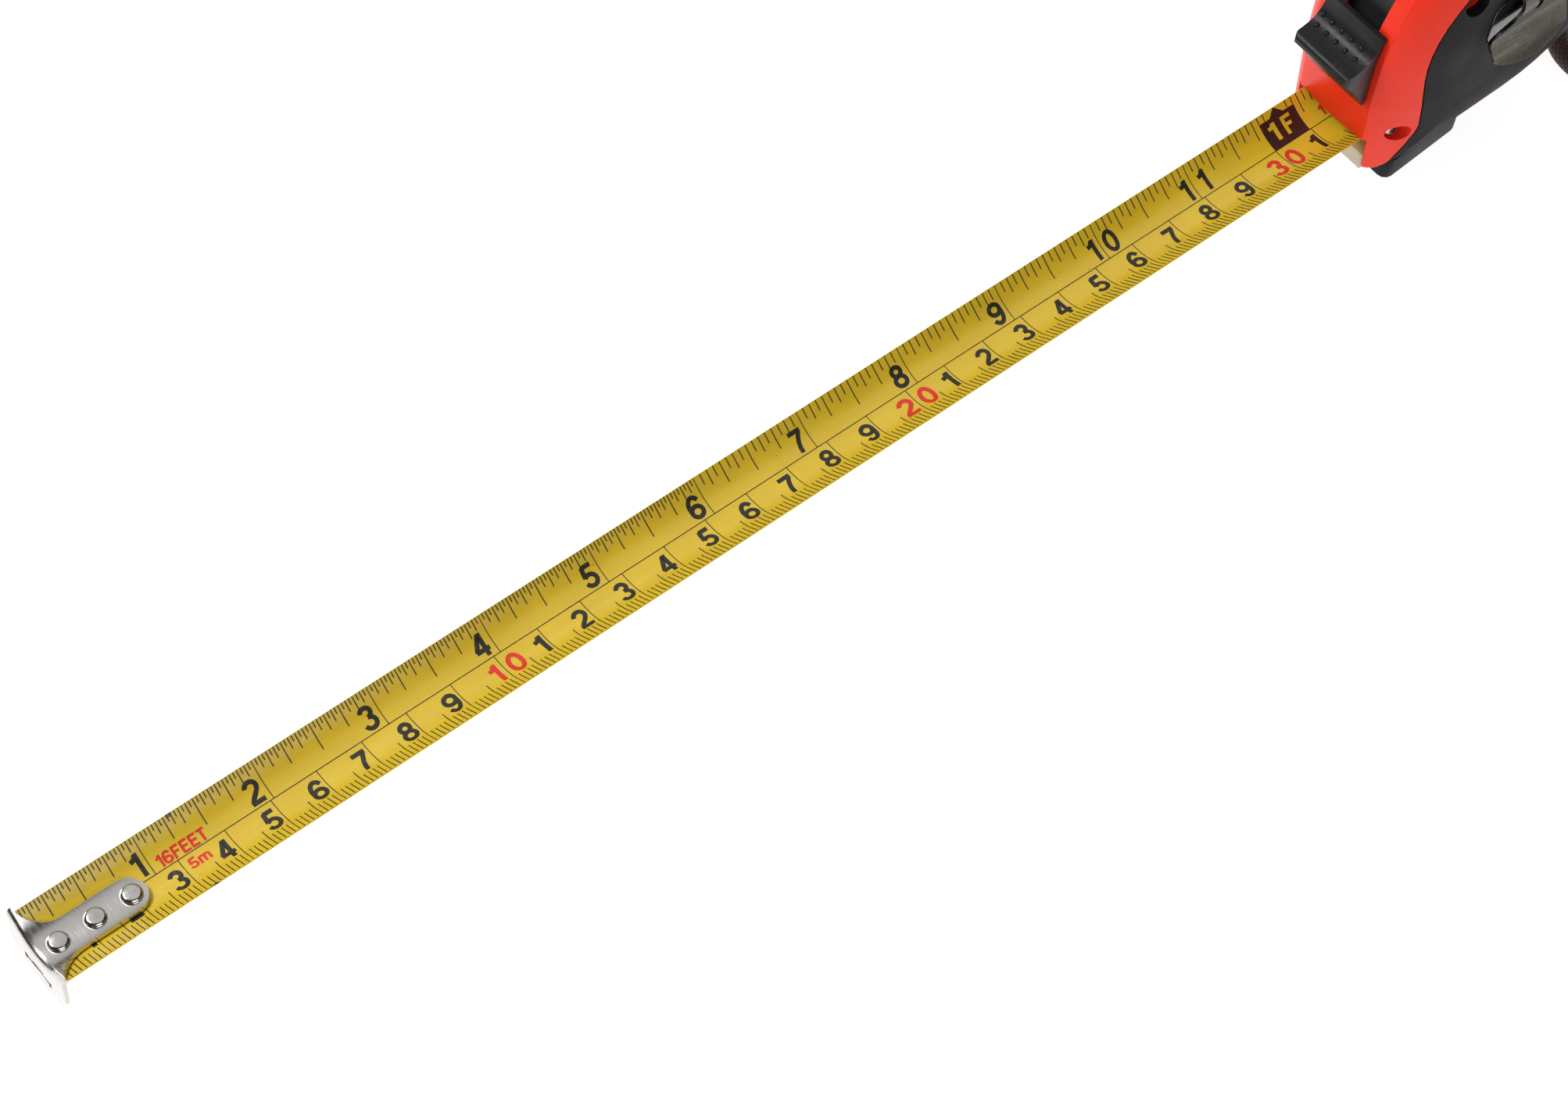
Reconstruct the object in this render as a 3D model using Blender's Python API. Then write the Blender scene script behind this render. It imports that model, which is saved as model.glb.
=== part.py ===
"""A five metre tape measure standing on its base with its blade drawn out and locked.

+X runs from the hook towards the back of the case, +Y towards the inch edge of the blade and +Z up.
The origin lies on the foot's bottom face. The belt clip is on the near side, -Y.
"""

from math import atan2, ceil, cos, pi, radians, sin, sqrt, tan

import bmesh
import bpy
from mathutils import Vector

MM = 0.001

# Fits
TOUCH_GAP = 0.3 * MM
RUN_GAP = 0.15 * MM
CUT_OVER = 1.0 * MM

# Case outline, seen from the near side
CASE_BACK = 36.0 * MM
CASE_TOP = 68.0 * MM
CASE_BOTTOM = 2.2 * MM
NOSE_FACE = -35.4 * MM
NOSE_TOE = -33.2 * MM
NOSE_KNEE_Z = 24.0 * MM
NOSE_KNEE_RADIUS = 25.0 * MM
TOE_RADIUS = 2.5 * MM
HEEL_RADIUS = 36.0 * MM
HEEL_Z = 5.0 * MM
BACK_TOP_RADIUS = 26.0 * MM
BROW_RADIUS = 15.0 * MM
BROW_ANGLE = radians(28)
TRACK_RADIUS = 45.4 * MM
TRACK_Z = 33.5 * MM

# Case sides
SEAM_Y = 9.3 * MM
CASE_HALF = 17.0 * MM
SIDE_ROUND = 15.5 * MM
SIDE_FULLNESS = 0.75
SIDE_STEPS = 7
BAND_WALL = 2.4 * MM
SIDE_WALL = 2.0 * MM

# Rubber covers
RUBBER = 1.8 * MM
RUBBER_EDGE_Y = 9.9 * MM
RUBBER_TOE_X = -32.6 * MM
RUBBER_WAIST = (-25.9 * MM, 17.6 * MM)
RUBBER_WAIST_RADIUS = 8.0 * MM
RUBBER_BROW = (-29.4 * MM, 43.0 * MM)
RUBBER_BROW_RADIUS = 26.0 * MM
RUBBER_TOP_X = -8.0 * MM

# Foot
FOOT_FRONT = -29.0 * MM
FOOT_WIDE_BACK = -6.2 * MM
FOOT_BACK = 5.0 * MM
FOOT_HALF = 13.8 * MM
FOOT_HALF_BACK = 12.4 * MM
FOOT_TAIL_HALF = 8.2 * MM
FOOT_RADIUS = 2.0 * MM
FOOT_FLANK_TOP = 5.6 * MM

# Blade
BLADE_WIDTH = 19.0 * MM
BLADE_THICK = 0.15 * MM
BLADE_CURVE = 10.4 * MM
BLADE_ARC_HALF = 6.8 * MM
BLADE_LOW_Z = 8.5 * MM
BLADE_ZERO_X = -348.0 * MM
BLADE_END_GAP = 1.05 * MM
BLADE_INNER_X = -12.5 * MM

# End hook and its rivets
HOOK_THICK = 0.9 * MM
HOOK_PLAY = 0.5 * MM
HOOK_WIDE_HALF = 10.8 * MM
HOOK_TONGUE_HALF = 4.2 * MM
HOOK_TONGUE_LENGTH = 22.6 * MM
HOOK_FLARE_LENGTH = 8.0 * MM
HOOK_LIP_LOW = 7.8 * MM
HOOK_LIP_SIDE = 5.8 * MM
NAIL_SLOT = (8.0 * MM, 1.5 * MM)
NAIL_SLOT_DROP = 3.6 * MM
RIVET_X = (4.2 * MM, 11.9 * MM, 19.5 * MM)
RIVET_SHANK = 1.0 * MM
RIVET_HEAD = 2.15 * MM
RIVET_HEAD_HIGH = 0.85 * MM
RIVET_TAIL_HIGH = 0.4 * MM

# Mouth and the guide block under the blade
MOUTH_HALF = 9.9 * MM
MOUTH_EDGE_Z = 12.8 * MM
MOUTH_MID_Z = 11.8 * MM
MOUTH_BACK = -23.0 * MM
GUIDE_FRONT = -33.0 * MM
GUIDE_BACK = -23.6 * MM
GUIDE_LOW_Z = 2.7 * MM
GUIDE_TOP_Z = 7.9 * MM
GUIDE_LEDGE = 1.6 * MM
GUIDE_LEDGE_Z = 7.0 * MM

# Lock slider
LOCK_HALF = 7.8 * MM
LOCK_LOW_Z = 24.2 * MM
LOCK_HIGH_Z = 43.6 * MM
LOCK_PLATE = 1.5 * MM
LOCK_LIP = (-42.6 * MM, 35.6 * MM)
LOCK_LIP_RADIUS = 1.5 * MM
LOCK_SCOOP_TOP_Z = 41.7 * MM
LOCK_CORNER = 2.0 * MM
LOCK_CHIN = ((-41.2 * MM, 32.0 * MM), (-38.4 * MM, 28.0 * MM), (-36.6 * MM, 24.2 * MM))
LOCK_TRAVEL = radians(9.5)
STEM_HALF = 4.6 * MM
STEM_LOW_Z = 28.0 * MM
STEM_HIGH_Z = 38.0 * MM
RETAINER_HALF = 6.6 * MM
RETAINER_LOW_Z = 21.2 * MM
RETAINER_HIGH_Z = 53.0 * MM
RETAINER_THICK = 1.4 * MM
WEDGE_HALF = 4.2 * MM
WEDGE_THICK = 2.0 * MM
WEDGE_TIP_Z = 10.9 * MM

# Reel
REEL_Z = 35.0 * MM
REEL_X = 0.8 * MM
COIL_OUTER = 22.0 * MM
COIL_INNER = 16.3 * MM
DRUM_OUTER = 16.0 * MM
DRUM_WALL = 1.3 * MM
DRUM_HALF = 9.4 * MM
DRUM_WEB = 1.0 * MM
POST_RADIUS = 3.6 * MM
POST_HALF = 11.6 * MM
POST_BOSS = 6.2 * MM
POST_BOSS_Y = 9.9 * MM
SPRING_THICK = 0.25 * MM
SPRING_PITCH = 1.05 * MM
SPRING_TURNS = 8
SPRING_HALF = 7.6 * MM
SPRING_INNER = 4.6 * MM
SPRING_COVER = 0.8 * MM

# Case screws, as places in the outline
SCREW_SHANK = 1.0 * MM
SCREW_HEAD = 1.9 * MM
SCREW_HEAD_HIGH = 1.5 * MM
SCREW_BOSS = 2.8 * MM
SCREW_SEAT = 3.4 * MM
SCREW_SEAT_Y = 11.0 * MM
SCREW_RECESS = 2.4 * MM
SCREW_LENGTH = 12.0 * MM
NOSE_SCREW_LENGTH = 3.6 * MM
SCREW_PLACES = {
    "screw_front_lower": (-29.8 * MM, 16.6 * MM),
    "screw_front_upper": (-20.0 * MM, 51.5 * MM),
    "screw_rear_lower": (18.9 * MM, 14.1 * MM),
    "screw_rear_upper": (24.0 * MM, 56.0 * MM),
}
NOSE_BLOCK_HALF = 3.7 * MM

# Belt clip
CLIP_X = -4.9 * MM
CLIP_SCREW_Z = 55.5 * MM
CLIP_THICK = 0.9 * MM
CLIP_SEAT_HALF = 6.0 * MM
CLIP_ARM_HALF = 4.8 * MM
CLIP_LIP_HALF = 10.8 * MM
CLIP_FOLD_Z = 39.6 * MM
CLIP_LOW_Z = 32.4 * MM
CLIP_BULGE_Z = 48.5 * MM
CLIP_SEAT_Y = 17.3 * MM
CLIP_BULGE_Y = 19.9 * MM
CLIP_FOLD_Y = 18.3 * MM
CLIP_LIP_Y = 22.2 * MM
CLIP_BOSS = 7.0 * MM
CLIP_SCREW_SHANK = 1.5 * MM
CLIP_SCREW_HEAD = 3.6 * MM
CLIP_SCREW_HEAD_HIGH = 1.4 * MM
CLIP_SCREW_LIFT = 0.7 * MM
CLIP_NUT = 2.6 * MM
CLIP_NUT_LONG = 3.2 * MM

# Strap pocket, pin and strap
POCKET = (29.4 * MM, 19.0 * MM)
POCKET_RADIUS = 5.6 * MM
POCKET_HALF = 5.3 * MM
POCKET_WALL = 1.8 * MM
PIN_PLACE = (28.2 * MM, 19.9 * MM)
PIN_RADIUS = 1.1 * MM
PIN_HALF = 6.6 * MM
STRAP_WIDE = 5.0 * MM
STRAP_ROUTE = [
    (31.2, -2.6, 16.2), (33.4, -2.9, 12.6), (33.4, -3.8, 8.6), (30.6, -6.0, 4.9), (26.7, -9.0, 3.0),
    (24.5, -12.8, 2.8), (24.0, -18.0, 2.8), (25.4, -26.0, 2.8), (30.2, -34.0, 2.8), (39.0, -40.0, 2.8),
    (50.0, -42.4, 2.8), (62.0, -41.0, 2.8), (73.0, -35.4, 2.8), (81.0, -26.2, 2.8), (84.0, -14.4, 2.8),
    (81.6, -2.6, 2.8), (73.8, 6.8, 2.8), (62.4, 11.2, 2.8), (51.2, 10.2, 2.8), (43.0, 6.8, 3.2),
    (38.0, 4.1, 6.0), (35.0, 3.0, 10.6), (31.2, 2.6, 16.2),
]

# Blank label plates
LABEL_THICK = 0.4 * MM
LABEL_DEEP = 0.2 * MM
NEAR_LABEL = (-14.0 * MM, 24.0 * MM, 36.0 * MM, 47.6 * MM)
NEAR_LABEL_RADIUS = 2.5 * MM
FAR_LABEL_RADIUS = 16.0 * MM

ORANGE = (0.93, 0.09, 0.02)
BLACK_RUBBER = (0.035, 0.037, 0.04)
BLACK_PLASTIC = (0.02, 0.02, 0.022)
IVORY = (0.78, 0.76, 0.68)
YELLOW = (0.78, 0.6, 0.05)
NICKEL = (0.72, 0.7, 0.68)
STEEL = (0.5, 0.49, 0.47)
SPRING_STEEL = (0.35, 0.36, 0.38)
STRAP_BLACK = (0.02, 0.02, 0.022)
LABEL_BLACK = (0.02, 0.02, 0.025)


def clear_scene():
    for obj in list(bpy.data.objects):
        bpy.data.objects.remove(obj, do_unlink=True)


def material(name, colour, roughness, metallic=0.0):
    found = bpy.data.materials.get(name)
    if found:
        return found
    made = bpy.data.materials.new(name)
    made.use_nodes = True
    shader = made.node_tree.nodes["Principled BSDF"]
    shader.inputs["Base Color"].default_value = (*colour, 1.0)
    shader.inputs["Roughness"].default_value = roughness
    shader.inputs["Metallic"].default_value = metallic
    return made


def add_object(name, bm, origin=(0, 0, 0)):
    """Makes an object from a bmesh given in world metres, with its origin at the given point."""
    place = Vector(origin)
    bmesh.ops.translate(bm, vec=-place, verts=bm.verts)
    bmesh.ops.recalc_face_normals(bm, faces=bm.faces)
    mesh = bpy.data.meshes.new(name)
    bm.to_mesh(mesh)
    bm.free()
    obj = bpy.data.objects.new(name, mesh)
    obj.location = place
    bpy.context.scene.collection.objects.link(obj)
    return obj


def finish(obj, made, smooth_angle=32):
    obj.data.materials.append(made)
    obj.data.shade_smooth()
    obj.data.set_sharp_from_angle(angle=radians(smooth_angle))
    return obj


def helper(obj):
    """Marks an object as a cutter or a guide, which is not part of the model."""
    obj.hide_render = True
    obj.display_type = "WIRE"
    return obj


def boolean(obj, other, operation="DIFFERENCE"):
    modifier = obj.modifiers.new(operation.title() + "_" + other.name, "BOOLEAN")
    modifier.operation = operation
    modifier.object = helper(other)
    modifier.solver = "EXACT"
    return obj


# Outlines are lists of (x, z) points, made from corners (x, z, radius).


def inset_corners(corners, depth):
    """Moves each side of a convex outline inwards by depth and shrinks its corner radii."""
    count = len(corners)
    moved = []
    for i in range(count):
        lines = []
        for j in (i - 1, i):
            a, b = Vector(corners[j % count][:2]), Vector(corners[(j + 1) % count][:2])
            along = (b - a).normalized()
            lines.append((a + Vector((-along.y, along.x)) * depth, along))
        (p, u), (q, v) = lines
        across = u.x * v.y - u.y * v.x
        step = ((q.x - p.x) * v.y - (q.y - p.y) * v.x) / across
        point = p + u * step
        moved.append((point.x, point.y, max(corners[i][2] - depth, 0.4 * MM)))
    return moved


def corner_arc(before, corner, after, steps):
    """Points of the arc that rounds one corner."""
    p, radius = Vector(corner[:2]), corner[2]
    to_before = (Vector(before[:2]) - p).normalized()
    to_after = (Vector(after[:2]) - p).normalized()
    half = to_before.angle(to_after) / 2
    start = p + to_before * (radius / tan(half))
    centre = p + (to_before + to_after).normalized() * (radius / sin(half))
    first = start - centre
    sweep = pi - 2 * half
    turn = sweep if to_before.cross(to_after) < 0 else -sweep
    points = []
    for k in range(steps + 1):
        angle = turn * k / steps
        points.append((
            centre.x + first.x * cos(angle) - first.y * sin(angle),
            centre.y + first.x * sin(angle) + first.y * cos(angle),
        ))
    return points


def rounded(corners, steps=6):
    """The outline through rounded corners; steps is a number, or one for each corner."""
    count = len(corners)
    steps = [steps] * count if isinstance(steps, int) else steps
    points = []
    for i in range(count):
        points += corner_arc(corners[i - 1], corners[i], corners[(i + 1) % count], steps[i])
    return points


def box_corners(x0, x1, z0, z1, radius):
    return [(x0, z0, radius), (x1, z0, radius), (x1, z1, radius), (x0, z1, radius)]


def loft(rings):
    """A closed bmesh through rings of points with equal counts, capped at both ends."""
    bm = bmesh.new()
    made = [[bm.verts.new(point) for point in ring] for ring in rings]
    for lower, upper in zip(made, made[1:]):
        for k in range(len(lower)):
            n = (k + 1) % len(lower)
            bm.faces.new((lower[k], lower[n], upper[n], upper[k]))
    bm.faces.new(made[0])
    bm.faces.new(made[-1])
    return bm


def prism(name, outline, y0, y1, origin=(0, 0, 0)):
    rings = [[(x, y, z) for x, z in outline] for y in (y0, y1)]
    return add_object(name, loft(rings), origin)


def turned(name, profile, centre, steps=48, origin=None):
    """Turns a closed profile of (radius, y) points about the Y line through centre (x, z)."""
    rings = []
    for k in range(steps):
        angle = 2 * pi * k / steps
        rings.append([
            (centre[0] + r * cos(angle), y, centre[1] + r * sin(angle)) for r, y in profile
        ])
    bm = bmesh.new()
    made = [[bm.verts.new(point) for point in ring] for ring in rings]
    for k in range(steps):
        one, two = made[k], made[(k + 1) % steps]
        for i in range(len(profile)):
            j = (i + 1) % len(profile)
            bm.faces.new((one[i], one[j], two[j], two[i]))
    bmesh.ops.remove_doubles(bm, verts=bm.verts, dist=1e-7)
    return add_object(name, bm, origin or (0, 0, 0))


def cylinder(name, centre, radius, y0, y1, steps=32):
    outline = []
    for k in range(steps):
        angle = 2 * pi * k / steps
        outline.append((centre[0] + radius * cos(angle), centre[1] + radius * sin(angle)))
    return prism(name, outline, y0, y1)


# Case outline


def case_corners():
    brow_z = TRACK_Z + TRACK_RADIUS * tan(BROW_ANGLE / 2)
    brow_top = NOSE_FACE + (CASE_TOP - brow_z) * tan(BROW_ANGLE)
    return [
        (NOSE_TOE, CASE_BOTTOM, TOE_RADIUS),
        (CASE_BACK, HEEL_Z, HEEL_RADIUS),
        (CASE_BACK, CASE_TOP, BACK_TOP_RADIUS),
        (brow_top, CASE_TOP, BROW_RADIUS),
        (NOSE_FACE, brow_z, TRACK_RADIUS),
        (NOSE_FACE, NOSE_KNEE_Z, NOSE_KNEE_RADIUS),
    ]


CASE_STEPS = (3, 10, 8, 5, 7, 3)


def case_ring(depth, y):
    return [(x, y, z) for x, z in rounded(inset_corners(case_corners(), depth), CASE_STEPS)]


def side_y(depth):
    """How far the side stands from the middle plane at a depth in from the outline."""
    share = min(depth / SIDE_ROUND, 1.0)
    return SEAM_Y + (CASE_HALF - SEAM_Y) * (1 - (1 - share) ** 2) ** SIDE_FULLNESS


def case_solid(name, side, skin, y_start):
    """One half of the case's outer shape less a skin, from y_start out to the side (-1 near, 1 far)."""
    rings = [case_ring(skin, y_start)]
    for k in range(SIDE_STEPS + 1):
        depth = SIDE_ROUND * (k / SIDE_STEPS) ** 1.6
        reach = side_y(depth) - skin
        if reach > side * y_start + 0.1 * MM:
            rings.append(case_ring(depth + skin, side * reach))
    return add_object(name, loft(rings))


def rubber_outline(grow=0.0):
    """Where rubber covers the side: behind the cheek's curved edge, past the case elsewhere."""
    past = 6 * MM
    low, high = CASE_BOTTOM - past, CASE_TOP + past
    return rounded([
        (RUBBER_TOE_X - grow, low, 1 * MM),
        (CASE_BACK + past, low, 1 * MM),
        (CASE_BACK + past, high, 1 * MM),
        (RUBBER_TOP_X - grow, high, 1 * MM),
        (RUBBER_BROW[0] - grow, RUBBER_BROW[1], RUBBER_BROW_RADIUS),
        (RUBBER_WAIST[0] - grow, RUBBER_WAIST[1], RUBBER_WAIST_RADIUS),
    ], 5)


def rubber_space(name, side, skin, y_edge, grow, over=0.0):
    """The space that a rubber cover fills, as a solid that stands over the case's surface by over."""
    space = case_solid(name, side, -over, side * (y_edge - CUT_OVER))
    block = prism(name + "_block", rubber_outline(grow), side * y_edge, side * (CASE_HALF + 3 * MM))
    boolean(space, block, "INTERSECT")
    core = case_solid(name + "_core", side, skin, side * (y_edge - 2 * CUT_OVER))
    return boolean(space, core)


def rubber_room(name, side):
    return rubber_space(name, side, RUBBER + TOUCH_GAP, RUBBER_EDGE_Y - TOUCH_GAP, TOUCH_GAP, CUT_OVER)


# Blade section


def section(s, offset=0.0):
    """(y, z) at arc length s from the blade's middle, offset above its lower face."""
    turn = BLADE_ARC_HALF / BLADE_CURVE
    angle = max(-turn, min(turn, s / BLADE_CURVE))
    rest = s - angle * BLADE_CURVE
    y = BLADE_CURVE * sin(angle) + rest * cos(angle)
    z = BLADE_CURVE * (1 - cos(angle)) + abs(rest) * sin(abs(angle))
    return y - offset * sin(angle), BLADE_LOW_Z + z + offset * cos(angle)


def section_ring(x, half, low, high, steps=16):
    upper = [section(-half + 2 * half * k / steps, high) for k in range(steps + 1)]
    lower = [section(half - 2 * half * k / steps, low) for k in range(steps + 1)]
    return [(x, y, z) for y, z in upper + lower]


def tape_blade():
    start = BLADE_ZERO_X + BLADE_END_GAP
    length = BLADE_INNER_X - start
    count = 8
    rings = [section_ring(start + length * k / count, BLADE_WIDTH / 2, 0.0, BLADE_THICK) for k in range(count + 1)]
    blade = add_object("tape_blade", loft(rings), (start, 0, BLADE_LOW_Z))
    for place in RIVET_X:
        x = BLADE_ZERO_X + place
        boolean(blade, upright(f"blade_hole_{place / MM:.0f}", x, 0, RIVET_SHANK + RUN_GAP, 5 * MM, 12 * MM))
    return finish(blade, material("blade_yellow", YELLOW, 0.35))


def upright(name, x, y, radius, z0, z1, stretch=0.0, steps=20):
    """A vertical cylinder, drawn out along X by stretch each way."""
    rings = []
    for z in (z0, z1):
        ring = []
        for k in range(steps):
            angle = 2 * pi * (k + 0.5) / steps
            reach = stretch if cos(angle) > 0 else -stretch
            ring.append((x + reach + radius * cos(angle), y + radius * sin(angle), z))
        rings.append(ring)
    return add_object(name, loft(rings))


def hook_half(x):
    """Half width of the hook's plate, measured along its arc, at a distance behind the lip."""
    end = HOOK_TONGUE_LENGTH - HOOK_TONGUE_HALF
    if x > end:
        return sqrt(max(HOOK_TONGUE_HALF ** 2 - (x - end) ** 2, (0.6 * MM) ** 2))
    if x > HOOK_FLARE_LENGTH:
        return HOOK_TONGUE_HALF
    share = 1 - max(x, 0.0) / HOOK_FLARE_LENGTH
    return HOOK_TONGUE_HALF + (HOOK_WIDE_HALF - HOOK_TONGUE_HALF) * share ** 2.8


def hook_plate():
    low = BLADE_THICK + TOUCH_GAP
    end = HOOK_TONGUE_LENGTH - 0.05 * MM
    stations = [HOOK_PLAY - HOOK_THICK * 0.6]
    stations += [HOOK_FLARE_LENGTH * (k / 8) for k in range(1, 9)]
    straight = end - HOOK_TONGUE_HALF
    stations += [straight + (end - straight) * sin(pi / 2 * k / 8) for k in range(9)]
    rings = [section_ring(BLADE_ZERO_X + x, hook_half(x), low, low + HOOK_THICK, 12) for x in stations]
    return add_object("end_hook", loft(rings), (BLADE_ZERO_X, 0, BLADE_LOW_Z))


def hook_lip():
    """The lip, bounded above by the plate's curve and below by a shallow arc."""
    high = BLADE_THICK + TOUCH_GAP + HOOK_THICK * 0.65
    steps = 16
    half = HOOK_WIDE_HALF - 0.2 * MM
    upper = [section(-half + 2 * half * k / steps, high) for k in range(steps + 1)]
    half_y = upper[-1][0]
    lower = []
    for k in range(steps + 1):
        y = half_y * (1 - 2 * k / steps)
        rise = (HOOK_LIP_LOW - HOOK_LIP_SIDE) * (y / half_y) ** 2
        corner = 2.2 * MM * max(0.0, abs(y / half_y) - 0.86) / 0.14
        lower.append((y, BLADE_LOW_Z - HOOK_LIP_LOW + rise + corner))
    face = BLADE_ZERO_X - HOOK_PLAY
    rings = [[(x, y, z) for y, z in upper + lower] for x in (face, face + HOOK_THICK)]
    return add_object("hook_lip", loft(rings))


def end_hook():
    hook = hook_plate()
    boolean(hook, hook_lip(), "UNION")
    drop = BLADE_LOW_Z - NAIL_SLOT_DROP
    wide, tall = NAIL_SLOT
    slot = rounded(box_corners(-wide / 2, wide / 2, drop - tall / 2, drop + tall / 2, tall / 2.4), 3)
    x0 = BLADE_ZERO_X - 3 * MM
    rings = [[(x, y, z) for y, z in slot] for x in (x0, x0 + 6 * MM)]
    boolean(hook, add_object("nail_slot", loft(rings)))
    for place in RIVET_X:
        name = f"hook_hole_{place / MM:.0f}"
        hole = RIVET_SHANK + RUN_GAP
        boolean(hook, upright(name, BLADE_ZERO_X + place, 0, hole, 5 * MM, 12 * MM, HOOK_PLAY))
    return finish(hook, material("hook_nickel", NICKEL, 0.2, 1.0))


def rivet(index):
    """A domed rivet through hook and blade, with a flat tail under the blade."""
    x = BLADE_ZERO_X + RIVET_X[index]
    tail_top = BLADE_LOW_Z - RUN_GAP
    head_low = BLADE_LOW_Z + BLADE_THICK + TOUCH_GAP + HOOK_THICK + 2 * RUN_GAP
    profile = [(RIVET_HEAD * 0.9, tail_top - RIVET_TAIL_HIGH), (RIVET_HEAD * 0.9, tail_top)]
    profile += [(RIVET_SHANK, tail_top), (RIVET_SHANK, head_low), (RIVET_HEAD, head_low)]
    profile += [(RIVET_HEAD * cos(pi / 2 * k / 5), head_low + RIVET_HEAD_HIGH * sin(pi / 2 * k / 5)) for k in (1, 2, 3, 4)]
    steps = 20
    bm = bmesh.new()
    rings = []
    for r, z in profile:
        rings.append([bm.verts.new((x + r * cos(2 * pi * k / steps), r * sin(2 * pi * k / steps), z)) for k in range(steps)])
    for lower, upper in zip(rings, rings[1:]):
        for k in range(steps):
            n = (k + 1) % steps
            bm.faces.new((lower[k], lower[n], upper[n], upper[k]))
    bm.faces.new(rings[0])
    top = bm.verts.new((x, 0, head_low + RIVET_HEAD_HIGH))
    for k in range(steps):
        bm.faces.new((rings[-1][k], rings[-1][(k + 1) % steps], top))
    made = add_object(f"hook_rivet_{index + 1}", bm, (x, 0, head_low))
    return finish(made, material("rivet_nickel", NICKEL, 0.18, 1.0))


# Case halves


def mouth_cutter():
    steps = 12
    top = []
    for k in range(steps + 1):
        y = MOUTH_HALF * (1 - 2 * k / steps)
        top.append((y, MOUTH_MID_Z + (MOUTH_EDGE_Z - MOUTH_MID_Z) * (y / MOUTH_HALF) ** 2))
    outline = [(-MOUTH_HALF, CASE_BOTTOM - CUT_OVER), (MOUTH_HALF, CASE_BOTTOM - CUT_OVER)] + top
    rings = [[(x, y, z) for y, z in outline] for x in (NOSE_FACE - 5 * MM, MOUTH_BACK)]
    return add_object("mouth_cutter", loft(rings))


def arc_points(radius, z0, z1, steps=8):
    """Points (x, z) on the front side of a circle about the lock's axis, from z0 up to z1."""
    centre = lock_axis()
    points = []
    for k in range(steps + 1):
        z = z0 + (z1 - z0) * k / steps
        points.append((centre[0] - sqrt(radius ** 2 - (z - centre[1]) ** 2), z))
    return points


def lock_axis():
    return NOSE_FACE + TRACK_RADIUS, TRACK_Z


def track_cutter():
    """The slot in the nose that the lock's stem slides in."""
    top = STEM_HIGH_Z + TRACK_RADIUS * sin(LOCK_TRAVEL) + 6 * MM
    outline = rounded(box_corners(NOSE_FACE - 8 * MM, NOSE_FACE + 12 * MM, STEM_LOW_Z - 1 * MM, top, 0.5 * MM), 1)
    return prism("track_cutter", outline, -STEM_HALF - 2 * TOUCH_GAP, STEM_HALF + 2 * TOUCH_GAP)


def boss(name, place, radius, side, y0, y1):
    """A cylinder kept inside the shell under the rubber."""
    post = cylinder(name, place, radius, min(y0, y1), max(y0, y1), 24)
    trim = case_solid(name + "_trim", side, RUBBER + TOUCH_GAP + SIDE_WALL / 2, -side * SEAM_Y)
    return boolean(post, trim, "INTERSECT")


def screw_holes(obj, side_name):
    for name, place in SCREW_PLACES.items():
        hole = SCREW_SHANK + RUN_GAP
        if side_name == "body":
            depth = NOSE_SCREW_LENGTH if name == "screw_front_lower" else SCREW_LENGTH
            boolean(obj, cylinder(name + "_bore", place, hole, -SEAM_Y - 2 * MM, -SEAM_Y + depth + TOUCH_GAP, 12))
        else:
            boolean(obj, cylinder(name + "_pass", place, hole, -SCREW_SEAT_Y - 2 * MM, -SEAM_Y + 2 * MM, 12))
            boolean(obj, cylinder(name + "_recess", place, SCREW_RECESS, -CASE_HALF - 2 * MM, -SCREW_SEAT_Y, 20))


def pocket_wall():
    inner = POCKET_RADIUS + POCKET_WALL
    wall = cylinder("pocket_wall", POCKET, inner, -POCKET_HALF - POCKET_WALL, POCKET_HALF + POCKET_WALL, 28)
    return boolean(wall, case_outside("pocket_trim"), "INTERSECT")


def case_outside(name):
    rings = [case_ring(0.2 * MM, y) for y in (-SEAM_Y, SEAM_Y)]
    return add_object(name, loft(rings))


def case_body():
    """The far half with the middle band, nose front, bosses and strap pocket."""
    body = case_solid("case_body", 1, 0.0, -SEAM_Y + TOUCH_GAP)
    band = prism("band_hollow", rounded(inset_corners(case_corners(), BAND_WALL), CASE_STEPS),
                 -SEAM_Y - CUT_OVER, SEAM_Y)
    boolean(body, band)
    skin = RUBBER + TOUCH_GAP + SIDE_WALL
    boolean(body, case_solid("far_hollow", 1, skin, -SEAM_Y - CUT_OVER))
    end = CASE_HALF - RUBBER - SIDE_WALL
    boolean(body, cylinder("far_post_boss", (REEL_X, REEL_Z), POST_BOSS, POST_BOSS_Y, end, 28), "UNION")
    for name, place in SCREW_PLACES.items():
        if name != "screw_front_lower":
            boolean(body, boss(name + "_boss", place, SCREW_BOSS, 1, -SEAM_Y + TOUCH_GAP, CASE_HALF), "UNION")
    boolean(body, rubber_room("far_rubber_room", 1))
    boolean(body, nose_block(), "UNION")
    boolean(body, pocket_wall(), "UNION")
    boolean(body, cylinder("pocket_cutter", POCKET, POCKET_RADIUS, -POCKET_HALF, POCKET_HALF, 28))
    pin = PIN_RADIUS + RUN_GAP
    boolean(body, cylinder("pin_bore", PIN_PLACE, pin, -PIN_HALF - RUN_GAP, PIN_HALF + RUN_GAP, 16))
    boolean(body, mouth_cutter())
    boolean(body, track_cutter())
    post = POST_RADIUS + RUN_GAP
    boolean(body, cylinder("far_post_socket", (REEL_X, REEL_Z), post, 0, POST_HALF + RUN_GAP, 24))
    screw_holes(body, "body")
    return finish(body, material("case_orange", ORANGE, 0.3))


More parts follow.
